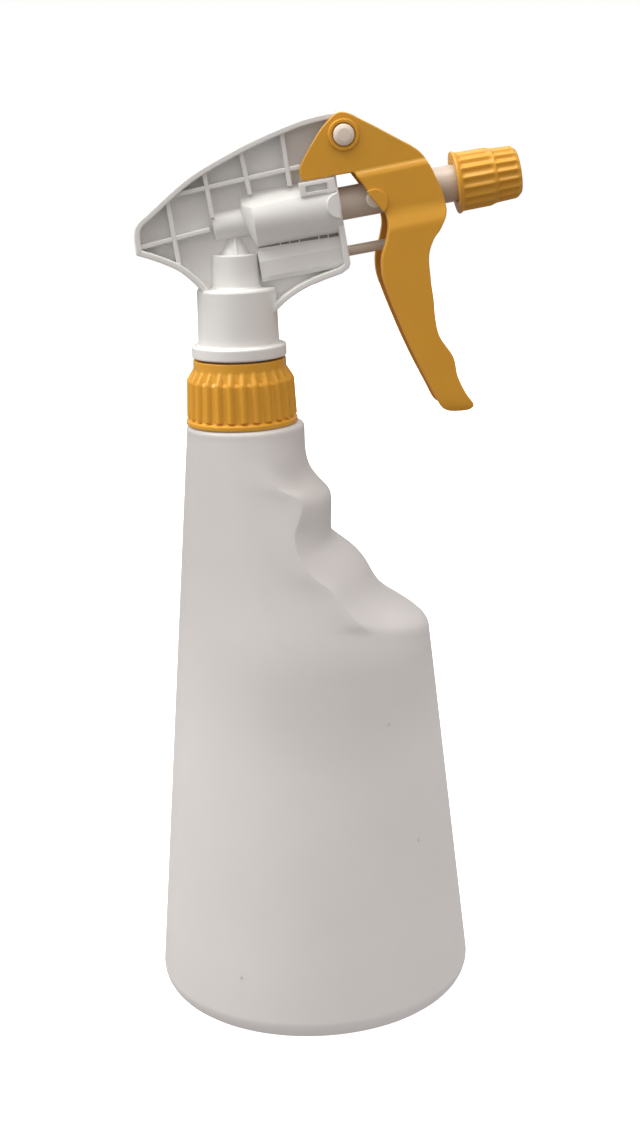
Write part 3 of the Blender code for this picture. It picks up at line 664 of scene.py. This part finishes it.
def finely(points, step):
    """The open path with each stretch cut into pieces no higher than a step."""
    path = []
    for (r0, z0), (r1, z1) in zip(points, points[1:]):
        pieces = max(1, round(abs(z1 - z0) / step))
        path += [(r0 + (r1 - r0) * k / pieces, z0 + (z1 - z0) * k / pieces)
                 for k in range(pieces)]
    return path + [points[-1]]


def make_collar():
    """Ribbed screw collar: top ring, recessed wall between the fins, body and a plain rim."""
    outside = fillet([(10.5, COLLAR_TOP_Z), (13.45, COLLAR_TOP_Z), (13.5, 192.9), (14.1, 190.3),
                      (14.75, 189.4), (15.15, 178.7), (COLLAR_RIM_R, 178.3),
                      (COLLAR_RIM_R, COLLAR_BASE_Z), (COLLAR_BORE_R, COLLAR_BASE_Z)],
                     0.3, False, 3)
    inside = [(COLLAR_BORE_R, 189.0), (12.6, 190.4), (12.6, 193.6), (10.5, 193.6)]
    shape = turned(finely(outside, COLLAR_STEP) + inside, steps=COLLAR_RIBS * RIB_COLUMNS,
                   ripple=collar_ripple, looped=True)
    piece("collar_shell", [(NECK, shape)], YELLOW_MAT, "collar",
          ["screw_collar"], crisp=42.0)


# ---- Pump body ----
FRAME_W = 5.8             # half width of the frame's flanges
FLANGE_T = 1.7
WEB_W = 1.0
RIB_T = 1.3
CROSS_RIB_W = FRAME_W - 1.2
LONG_RIB_W = FRAME_W - 1.35    # lower, so that crossing ribs don't share a face
NOSE_R = 6.2
ARCH = [(-27.9, 226.6), (-27.9, 234.0), (-23.3, 238.6), (-14.4, 245.9), (-7.4, 250.3),
        (5.3, 256.5), (18.2, 261.4), (26.0, 263.3)]
SADDLE = [(-27.9, 226.6), (-21.5, 224.3), (-15.6, 221.3), (-10.5, 216.4), (-9.0, 213.5)]
BRACE = [(9.5, 208.0), (13.6, 211.8), (18.4, 214.9), (24.0, 217.3), (29.9, 219.2)]
CROSS_RIBS = [((-18.5, 241.5), (-15.9, 222.5)), ((-7.9, 249.0), (-6.0, 236.0)),
              ((2.5, 254.5), (4.8, 242.0)), ((14.2, 259.0), (16.1, 244.0))]
LONG_RIBS = [((-27.0, 228.5), (-6.9, 232.8)), ((-16.5, 242.7), (19.2, 249.2))]
SKIRT_R = 11.7
FLANGE_R = 13.7
BARREL_R = 7.9
BARREL_L = 27.0
ROOF_RIDGE = 78.0         # angle of the roof facets' upper edges
ROOF_CREASE = (29.0, 41.0)    # angle of their lower edges at the rear and in front
ARC_GAP = 0.001           # degrees between the section's two arcs, so that no point is doubled
TAIL_R = 4.2
TAIL_END_S = -37.7
LATCH = [(-12.1, 4.2), (-1.9, 4.2), (-1.9, 8.1), (-12.1, 8.1)]    # (s, v)
LATCH_SLOT = [(-10.4, 5.2), (-4.2, 5.2), (-4.2, 7.0), (-10.4, 7.0)]
LATCH_Y = 7.4             # half width over the two latch boxes
LATCH_SLOT_DEPTH = 1.6
TICKS = [-19.8, -17.1, -14.3, -8.7, -6.0]    # s of the moulded marks along the slit


def frame_outline():
    """The frame's closed outline in the neck frame."""
    top = smooth_path(ARCH) + arc(PIVOT.x, PIVOT.z, NOSE_R, 90, 10, 10)
    front = [to_neck(-1.3, 12.0), to_neck(-1.3, -16.4), to_neck(-1.9, -17.6)]
    low = smooth_path(BRACE)[::-1] + smooth_path(SADDLE)[::-1]
    return top + front + low[:-1]


def barrel_section(crease):
    """The barrel's (y, v) section: round, with two flat roof facets above creases at an angle."""
    near = arc(0, 0, BARREL_R, crease, crease - 180.0, 22)
    far = arc(0, 0, BARREL_R, 180.0 - ARC_GAP + crease, 180.0 - crease, 8)
    return near + far + arc(0, 0, BARREL_R, 180.0 - ROOF_RIDGE, ROOF_RIDGE, 4)


def barrel_shapes():
    """Barrel with its roof facets, a rear that draws in upwards, and the tail tube."""
    rear, front = ROOF_CREASE
    stations = [(-1.5, 1.0, 0.0, front), (-BARREL_L + 0.8, 1.0, 0.0, rear),
                (-BARREL_L - 1.7, 0.58, 2.6, rear), (-BARREL_L - 2.1, 0.42, 2.6, rear)]
    rows = [[(s, y * share, v * share + lift) for y, v in barrel_section(crease)]
            for s, share, lift, crease in stations]
    tail = fillet([(0.001, TAIL_END_S), (TAIL_R, TAIL_END_S), (TAIL_R, -26.0), (0.001, -26.0)],
                  1.0, False, 6)
    return [(BARREL, skin(rows)), (BARREL, turned(tail, along="X"))]


def latch_boxes():
    """Boxes on the barrel's shoulders, each with a long slot in its side."""
    outer, slot = fillet(LATCH, 0.35, steps=2), fillet(LATCH_SLOT, 0.2, steps=2)
    levels = [(slot, LATCH_Y - LATCH_SLOT_DEPTH), (slot, LATCH_Y - 0.1),
              (offset(slot, -0.1), LATCH_Y), (inset(outer, 0.3), LATCH_Y),
              (inset(outer, 0.09), LATCH_Y - 0.09), (outer, LATCH_Y - 0.3), (outer, 0.0)]
    return mirrored(stack(levels))


def vent_section():
    """The vent tube's (y, v) section: flat top, slanting facets and a round belly."""
    half = [(2.3, -8.6), (3.9, -11.6), (3.9, -16.0), (2.7, -17.4)]
    return fillet(half + [(-y, v) for y, v in half[::-1]], 0.6, steps=4)


def ribbed_frame():
    """The frame's flange, web and ribs."""
    outline = frame_outline()
    path = outline if signed_area(outline) > 0 else outline[::-1]
    shapes = [ribbon(path, FRAME_W, FLANGE_T, closed=True, edge=0.4),
              plate(inset(outline, 0.6), -WEB_W, WEB_W, 0.1, 1)]
    for ribs, half in ((CROSS_RIBS, CROSS_RIB_W), (LONG_RIBS, LONG_RIB_W)):
        shapes += [plate(bar(start, end, RIB_T), -half, half, 0.3) for start, end in ribs]
    return [(NECK, shape) for shape in shapes]


def skirt_and_riser():
    """Skirt, intake riser, its cone and cross fin, and the boss round the pivot."""
    skirt = [(0.001, 216.0), (11.0, 216.0), (11.4, 215.3), (SKIRT_R, 199.9),
             (FLANGE_R, 199.8), (FLANGE_R, 196.3), (10.2, 196.3), (10.2, 193.7), (0.001, 193.7)]
    riser = [(0.001, 225.5), (6.65, 225.5), (7.0, 216.5), (7.6, 215.9), (0.001, 215.0)]
    cone = [(0.001, 232.2), (0.9, 232.0), (4.4, 225.0), (0.001, 225.0)]
    fin = [(-5.0, 225.0), (5.0, 225.0), (0.9, 233.0), (-0.9, 233.0)]
    turn = Matrix.Rotation(math.pi / 2, 4, "Z")
    return [(NECK, turned(fillet(skirt, 0.6, False), steps=96)),
            (NECK, turned(fillet(riser, 0.5, False), steps=72)),
            (NECK, turned(fillet(cone, 0.4, False), steps=48)),
            (NECK @ turn, plate(fin, -0.5, 0.5, 0.2)),
            (NECK, rod(NOSE_R - 1.4, -FRAME_W, FRAME_W, (PIVOT.x, 0, PIVOT.z), "Y"))]


def barrel_fittings():
    """Latch boxes, vent tube, the web over it, front lobes and the marks along the slit."""
    wedge = [(-26.0, -9.0), (-1.8, -9.0), (-1.8, -8.65), (-26.0, -7.85)]
    lobe = plate(arc(-1.9, 0.3, 3.6, 90, 270, 16), 5.0, 8.5, 0.35)
    shapes = latch_boxes() + [prism(vent_section(), -26.7, -1.6, 0.2),
                              plate(wedge, -2.3, 2.3, 0.1, 1)] + mirrored(lobe)
    shapes += [plate(bar((s, -7.2), (s, -8.9), 0.3), -2.5, 2.5, 0.05, 1) for s in TICKS]
    return [(BARREL, shape) for shape in shapes]


def make_pump_body():
    """Ribbed frame, barrel, vent tube, riser and skirt, moulded as one, and a sheet of painted
    shade in the slit.
    """
    piece("pump_body_shell", ribbed_frame() + skirt_and_riser() + barrel_fittings(), WHITE_MAT,
          "head", ["pump_body"])
    piece("pump_barrel_shell", barrel_shapes(), WHITE_MAT, "head", crisp=16.0)
    # Painted shade: a dark sheet in the slit under the barrel, where there is only shadow.
    slit = [(-22.0, -8.9), (-1.8, -8.9), (-1.8, -7.2), (-22.0, -7.2)]
    piece("slit_painted_shade", [(BARREL, plate(slit, -1.9, 1.9, 0.1, 1))], SHADE_MAT, "head")


# ---- Pivot pin ----
PIN_R = 3.0
PIN_HALF = 8.7            # half length


def make_pivot_pin():
    """Domed pivot pin."""
    dome = [(PIN_R, 1.2), (2.85, 0.5), (1.8, 0.05), (0.001, 0.0)]    # (radius, depth)
    profile = [(radius, depth - PIN_HALF) for radius, depth in dome[::-1]]
    profile += [(radius, PIN_HALF - depth) for radius, depth in dome]
    shape = turned(fillet(profile, 0.4, False), (PIVOT.x, 0, PIVOT.z), "Y", 64)
    piece("pivot_pin_domed", [(NECK, shape)], CREAM_MAT, "head", ["pivot_pin"])


# ---- Trigger ----
EAR_IN = 6.3
EAR_OUT = 7.0
BAND_OUT = 7.95
GRIP_OUT = 9.2
WEB_T = 1.7
FRONT = [(36.7, 261.4), (45.7, 256.5), (51.0, 253.5), (53.4, 251.4), (55.3, 248.5),
         (57.3, 244.5), (58.9, 240.5), (59.8, 236.4), (58.8, 232.1), (55.6, 227.5),
         (54.4, 221.5), (55.3, 214.6), (55.9, 208.0), (56.3, 202.5), (58.3, 198.5),
         (61.0, 194.6), (62.2, 189.0), (64.5, 184.0), (66.8, 180.9)]
# The ear's lower, rear, top and front edge, then the part that lies inside the band.
EAR = [(33.6, 247.2), (19.4, 245.3), (18.8, 249.0), (22.7, 256.0), (26.5, 261.0),
       (30.8, 263.8), (36.7, 261.4), (45.7, 256.5), (51.0, 253.5), (53.4, 251.4),
       (54.4, 249.9)]
EAR_LAP = [(54.7, 248.4), (37.0, 245.2), (34.8, 245.9)]
# Rear point, front point and outer half width of each cheek, from the band's crease to the tip.
CHEEK = [(33.9, 247.9, 53.7, 251.0, EAR_OUT - 0.05), (34.0, 247.2, 54.1, 250.4, EAR_OUT + 0.15),
         (34.4, 246.5, 54.5, 249.8, EAR_OUT + 0.6), (34.9, 245.7, 54.9, 249.1, BAND_OUT - 0.05),
         (35.6, 244.8, 55.6, 248.0, BAND_OUT), (38.5, 240.8, 57.6, 243.8, BAND_OUT),
         (40.8, 238.3, 58.9, 240.4, BAND_OUT), (42.2, 236.4, 59.4, 238.5, BAND_OUT),
         (42.8, 234.6, 59.7, 237.0, BAND_OUT + 0.3), (43.1, 232.6, 59.7, 235.4, GRIP_OUT - 0.4),
         (43.0, 230.9, 59.2, 233.5, GRIP_OUT), (42.3, 227.7, 57.7, 230.5, GRIP_OUT),
         (41.3, 224.8, 55.9, 228.0, GRIP_OUT), (40.9, 221.8, 54.5, 223.6, GRIP_OUT),
         (41.3, 217.4, 54.8, 217.4, GRIP_OUT), (43.4, 211.1, 55.6, 211.2, GRIP_OUT),
         (45.5, 205.7, 56.0, 205.8, GRIP_OUT), (47.8, 200.0, 57.2, 200.5, GRIP_OUT),
         (50.8, 193.3, 61.0, 194.6, GRIP_OUT), (53.5, 187.8, 62.2, 189.0, GRIP_OUT),
         (55.5, 183.8, 64.5, 184.0, GRIP_OUT), (56.6, 181.5, 66.6, 181.0, GRIP_OUT - 0.1),
         (57.6, 179.9, 66.7, 179.8, GRIP_OUT - 0.3), (59.2, 178.9, 65.6, 178.9, GRIP_OUT - 0.7),
         (61.0, 178.6, 63.8, 178.6, GRIP_OUT - 1.1)]
CHEEK_RIM = 0.5           # rounding of the cheek's long edges
WEB_BACK = 0.25           # the front web lies this far behind the cheeks' front edges
TIP = [(66.4, 179.5), (64.2, 178.7), (60.6, 178.7)]
WINDOW_TOP_X = 48.5       # the front web is open for the stem from here
WINDOW_LOW_Z = 236.3      # down to here
WINDOW_MIDDLE_Z = 250.0   # a height between the two
TRUNNION_BOSS = arc(39.5, 238.9, 3.7, -49, 128, 16)    # cut off along the rear edge
TRUNNION_S = 8.3
VENT_V = -13.4
VENT_PAD_S = 14.4


def cheek_strip():
    """The cheek from the band's crease down, lofted between its rear and front edges."""
    rows = []
    angles = [math.radians(a) for a in (90, 67.5, 45, 22.5, 0)]
    rim = [(1 - math.cos(a), 1 - math.sin(a)) for a in angles]    # (depth, distance in)
    for rear_x, rear_z, front_x, front_z, half in smooth_path(CHEEK, 4):
        rear, front = Vector((rear_x, rear_z)), Vector((front_x, front_z))
        across = (front - rear).normalized()
        row = [(rear, EAR_IN)]
        row += [(rear + across * CHEEK_RIM * inwards, half - CHEEK_RIM * depth)
                for depth, inwards in rim]
        row += [(front - across * CHEEK_RIM * inwards, half - CHEEK_RIM * depth)
                for depth, inwards in rim[::-1]]
        row.append((front, EAR_IN))
        rows.append([(point.x, -y, point.y) for point, y in row])
    return skin(rows)


def cheeks():
    """Both cheeks, each a thin ear, then the wider band and the widest grip."""
    ear = EAR[:1] + smooth_path(EAR[1:]) + EAR_LAP
    return mirrored(plate(ear, -EAR_OUT, -EAR_IN, 0.4)) + mirrored(cheek_strip())


def make_trigger():
    """Two stepped cheeks, the front web open for the stem, bosses and the vent pad."""
    shapes = [(NECK, shape) for shape in cheeks()]
    front = smooth_path(FRONT)
    upper = [point for point in front if point[0] < WINDOW_TOP_X and point[1] > WINDOW_MIDDLE_Z]
    lower = [point for point in front if point[1] < WINDOW_LOW_Z] + TIP
    for path in (upper, lower):
        web = offset(path[::-1], WEB_BACK, False)
        shapes.append((NECK, ribbon(web, EAR_IN + 0.5, WEB_T, edge=0.3)))
    ring = fillet([(3.35, 6.6), (4.5, 6.6), (4.3, 7.75), (3.35, 7.75)], 0.25, steps=3)
    eye = turned(ring, (PIVOT.x, 0, PIVOT.z), "Y", 56, looped=True)
    boss = plate(TRUNNION_BOSS, EAR_IN + 1.0, BAND_OUT + 0.75, 0.3)
    shapes += [(NECK, shape) for shape in mirrored(eye) + mirrored(boss)]
    pad = bar((VENT_PAD_S + 0.9, -16.6), (VENT_PAD_S + 0.9, -10.4), 1.8)
    pad_rib = bar((VENT_PAD_S + 1.0, VENT_V), (VENT_PAD_S + 8.1, VENT_V), 1.6)
    for outline in (pad, pad_rib):
        shapes.append((BARREL, plate(outline, -EAR_IN - 0.3, EAR_IN + 0.3, 0.3)))
    piece("trigger_shell", shapes, YELLOW_MAT, "trigger", ["trigger"])


# ---- Plunger, valves and nozzle ----
PLUNGER_R = 4.65
STEM_R = 5.2
CAP_S = 32.2
CAP_END_S = 50.8
CAP_FLUTES = 18
FLUTE_DEPTH = 0.7
FLUTE_MIN_R = 6.6         # what lies inside this stays round
FLUTE_START_S = 33.4
CAP_STEP_S = 43.4         # the rear flutes end and the front ones start
FLUTE_END_S = 50.2
FLUTE_RISE = 0.5          # length over which a flute starts
REAR_FLUTE_TIP = 1.6      # length over which it ends
FRONT_FLUTE_TIP = 1.2
CAP_STEP = 0.4            # length between the cap's sections
FLUTE_COLUMNS = 12        # columns of points for each flute
PISTON_S = -9.0
RETURN_SPRING_S = -24.9   # its rear end
RETURN_SPRING = {"radius": 5.3, "wire": 0.45, "turns": 6}
DISCHARGE_SPRING = {"radius": 1.9, "wire": 0.2, "turns": 5, "start": 30.8, "end": 38.6}


def make_plunger():
    """Plunger and stem with its cross pin."""
    profile = [(0.001, PISTON_S - 1.0), (3.2, PISTON_S - 1.0), (3.2, -4.8), (PLUNGER_R, -4.4),
               (PLUNGER_R, 23.6), (STEM_R, 24.6), (STEM_R, 32.4), (5.0, 46.4), (0.001, 46.4)]
    pin = rod(2.4, -7.6, 7.6, (TRUNNION_S, 0, 0), "Y", 0.5)
    piece("plunger_stem", [(BARREL, turned(fillet(profile, 0.3, False), along="X")),
                           (BARREL, pin)],
          STEM_MAT, "plunger", ["plunger_tube", "swirl_insert", "stem_oring"])


def make_bushes():
    """Bushes in the mouths of the barrel and the vent tube."""
    bushes = [(BARREL, turned(fillet(ring_section(4.9, 6.4, -6.0, -1.4), 0.2), along="X",
                              looped=True)),
              (BARREL, turned(fillet(ring_section(1.7, 2.3, -6.0, -1.4), 0.15),
                              (0, 0, VENT_V), "X", looped=True))]
    piece("barrel_bushes", bushes, CREAM_MAT, "head",
          ["barrel_bush", "vent_bush"])


def cap_ripple(angle, radius, height):
    """Flutes round the cap; the rear ones end in rounded tips at the step."""
    if radius < FLUTE_MIN_R or height < FLUTE_START_S:
        return radius
    ridge = (0.5 + 0.5 * math.cos(CAP_FLUTES * angle)) ** 1.5
    start, end, tip = FLUTE_START_S, CAP_STEP_S, REAR_FLUTE_TIP
    if height >= CAP_STEP_S:
        start, end, tip = CAP_STEP_S, FLUTE_END_S, FRONT_FLUTE_TIP
    fade = min(1.0, (height - start) / FLUTE_RISE) * min(1.0, max(0.0, (end - height) / tip))
    return radius - FLUTE_DEPTH * (1 - ridge) * fade


def make_nozzle():
    """Fluted nozzle cap with its rear flange, step, rounded front and orifice."""
    outer = [(5.5, CAP_S), (8.8, CAP_S), (8.75, 32.8), (8.3, 33.5), (8.2, 41.8),
             (7.7, CAP_STEP_S), (7.4, CAP_END_S - 1.4), (6.2, CAP_END_S - 0.1), (3.0, CAP_END_S),
             (2.4, CAP_END_S - 0.5), (0.7, CAP_END_S - 1.3), (0.7, 48.0), (5.5, 48.0)]
    outer = fillet(outer, 0.3, True, 3)
    profile = []
    for (r0, z0), (r1, z1) in zip(outer, outer[1:] + outer[:1]):
        fluted = min(r0, r1) > FLUTE_MIN_R - 0.1
        pieces = max(1, int(abs(z1 - z0) / CAP_STEP)) if fluted else 1
        profile += [(r0 + (r1 - r0) * k / pieces, z0 + (z1 - z0) * k / pieces)
                    for k in range(pieces)]
    shape = turned(profile, along="X", steps=CAP_FLUTES * FLUTE_COLUMNS, ripple=cap_ripple,
                   looped=True)
    piece("nozzle_cap_fluted", [(BARREL, shape)], YELLOW_MAT, "nozzle_cap",
          ["nozzle_cap"], crisp=45.0)


def make_vent_rod():
    """Vent rod with a rounded front end."""
    profile = [(0.001, -9.0), (1.1, -9.0), (1.1, -6.4), (1.5, -6.4), (1.5, 12.6), (1.1, 13.8),
               (0.001, 14.1)]
    shape = turned(fillet(profile, 0.3, False), (0, 0, VENT_V), "X", 40)
    piece("vent_rod_round", [(BARREL, shape)], STEM_MAT, "vent_rod",
          ["vent_rod"])


def make_springs():
    """The return spring, with a mesh of its own, and the discharge spring."""
    start, end = RETURN_SPRING_S, PISTON_S - 1.5
    shape = coil(start=start, end=end, **RETURN_SPRING)
    spring = piece("return_spring_coil", [(BARREL, shape)], STEEL_MAT, "head",
                   ["return_spring"])
    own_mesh(spring)
    piece("discharge_spring_coil", [(BARREL, coil(**DISCHARGE_SPRING))], STEEL_MAT,
          "plunger", ["discharge_spring"])


def finish_cad_nodes():
    """Materials for the CAD pieces that stay."""
    finishes = {"tube_holder": CREAM_MAT, "tube_strainer": CREAM_MAT, "dip_tube": CLEAR_MAT,
                "neck_gasket": RUBBER_MAT, "piston_cup": RUBBER_MAT, "cap_washer": RUBBER_MAT,
                "vent_seal": RUBBER_MAT, "intake_ball": STEEL_MAT, "discharge_ball": STEEL_MAT}
    for name, mat in finishes.items():
        node = frame["nodes"][name]
        node.data.materials.clear()
        node.data.materials.append(mat)


# ---- Camera, light and floor ----
EYE_H = 0.272             # height at which the camera's axis leaves its target plane
EYE_DISTANCE = 0.520      # distance along the view, projected on the floor plane
EYE_ASIDE = 0.0213
PITCH = math.radians(15.1)
SWING = math.radians(4.5)
ROLL = math.radians(1.9)
LENS_MM = 57.09
SENSOR_MM = 36.0


def make_camera():
    """The catalogue view: from a little above, slightly turned and rolled."""
    forward = Vector((math.sin(SWING) * math.cos(PITCH), math.cos(SWING) * math.cos(PITCH),
                      -math.sin(PITCH)))
    level = Vector((math.cos(SWING), -math.sin(SWING), 0.0))
    upright = level.cross(forward)
    right = level * math.cos(ROLL) - upright * math.sin(ROLL)
    up = level * math.sin(ROLL) + upright * math.cos(ROLL)
    target = Vector((EYE_ASIDE, 0.0, EYE_H - EYE_DISTANCE * math.tan(PITCH)))
    place = target - forward * EYE_DISTANCE / math.cos(PITCH)
    place.x += NECK.translation.x
    camera = bpy.data.cameras.new("camera")
    camera.lens = LENS_MM
    camera.sensor_width = SENSOR_MM
    camera.clip_start = 0.01
    obj = bpy.data.objects.new("camera", camera)
    turn = Matrix((right, up, -forward)).transposed().to_4x4()
    obj.matrix_world = Matrix.Translation(place) @ turn
    bpy.context.scene.collection.objects.link(obj)
    bpy.context.scene.camera = obj


def area_light(name, place, aim, size, watts, tint=(1.0, 1.0, 1.0)):
    """A soft square light aimed at a point."""
    light = bpy.data.lights.new(name, "AREA")
    light.size = size
    light.energy = watts
    light.color = tint
    obj = bpy.data.objects.new(name, light)
    obj.location = place
    obj.rotation_euler = (Vector(aim) - Vector(place)).to_track_quat("-Z", "Y").to_euler()
    bpy.context.scene.collection.objects.link(obj)


FLOOR_R = 2.0
FLOOR_Z = -0.0004         # just under the standing face


def make_floor():
    """A pure white sweep under the object; the studio's light reaches the object through it."""
    mat = bpy.data.materials.new("white_sweep")
    mat.use_nodes = True
    shader = mat.node_tree.nodes["Principled BSDF"]
    shader.inputs["Base Color"].default_value = (0.9, 0.9, 0.9, 1.0)
    shader.inputs["Roughness"].default_value = 0.9
    shader.inputs["Emission Color"].default_value = (1.0, 1.0, 1.0, 1.0)
    shader.inputs["Emission Strength"].default_value = 1.0
    bm = bmesh.new()
    bmesh.ops.create_circle(bm, cap_ends=True, segments=96, radius=FLOOR_R)
    mesh = bpy.data.meshes.new("floor")
    bm.to_mesh(mesh)
    bm.free()
    mesh.materials.append(mat)
    floor = bpy.data.objects.new("floor", mesh)
    floor.location.z = FLOOR_Z
    floor.visible_diffuse = False
    floor.visible_glossy = False
    floor.visible_transmission = False
    floor.visible_shadow = False
    bpy.context.scene.collection.objects.link(floor)


LIGHT_BELOW = 0.26        # strength of the studio's even light from below, level and above
LIGHT_LEVEL = 0.37
LIGHT_ABOVE = 1.0
LIGHT_TINT = (1.0, 0.94, 0.91)


def make_world():
    """A white studio: pure white behind the object, and softer, brighter above, as a light."""
    world = bpy.data.worlds.new("studio")
    world.use_nodes = True
    tree = world.node_tree
    seen = tree.nodes["Background"]
    seen.inputs["Color"].default_value = (1.0, 1.0, 1.0, 1.0)
    seen.inputs["Strength"].default_value = 1.0
    coords = tree.nodes.new("ShaderNodeTexCoord")
    split = tree.nodes.new("ShaderNodeSeparateXYZ")
    tree.links.new(coords.outputs["Generated"], split.inputs["Vector"])
    height = add_node(tree, "ShaderNodeMapRange", From_Min=-1.0, From_Max=1.0)
    tree.links.new(split.outputs["Z"], height.inputs["Value"])
    ramp = tree.nodes.new("ShaderNodeValToRGB")
    ramp.color_ramp.elements[0].color = (*(LIGHT_BELOW * c for c in LIGHT_TINT), 1.0)
    ramp.color_ramp.elements[1].color = (*(LIGHT_ABOVE * c for c in LIGHT_TINT), 1.0)
    level = ramp.color_ramp.elements.new(0.5)
    level.color = (*(LIGHT_LEVEL * c for c in LIGHT_TINT), 1.0)
    tree.links.new(height.outputs["Result"], ramp.inputs["Fac"])
    lit = add_node(tree, "ShaderNodeBackground", Strength=1.0)
    tree.links.new(ramp.outputs["Color"], lit.inputs["Color"])
    path = tree.nodes.new("ShaderNodeLightPath")
    mix = tree.nodes.new("ShaderNodeMixShader")
    tree.links.new(path.outputs["Is Camera Ray"], mix.inputs[0])
    tree.links.new(lit.outputs[0], mix.inputs[1])
    tree.links.new(seen.outputs[0], mix.inputs[2])
    tree.links.new(mix.outputs[0], tree.nodes["World Output"].inputs["Surface"])
    bpy.context.scene.world = world


def make_lights():
    """Large soft key high on the left, a weak front fill and a top light."""
    middle = (0.0, 0.0, 0.17)
    area_light("key", (-0.70, -0.02, 0.98), middle, size=0.6, watts=7.5, tint=(1.0, 1.0, 0.96))
    area_light("front_left", (-0.95, -0.75, 0.40), middle, size=0.7, watts=0.8)
    area_light("top", (0.05, -0.15, 1.1), middle, size=0.5, watts=3.5, tint=(1.0, 1.0, 0.97))


make_bottle()
make_collar()
make_pump_body()
make_pivot_pin()
make_trigger()
make_plunger()
make_bushes()
make_nozzle()
make_vent_rod()
make_springs()
finish_cad_nodes()
make_camera()
make_floor()
make_world()
make_lights()
bpy.context.scene.view_settings.view_transform = "Standard"
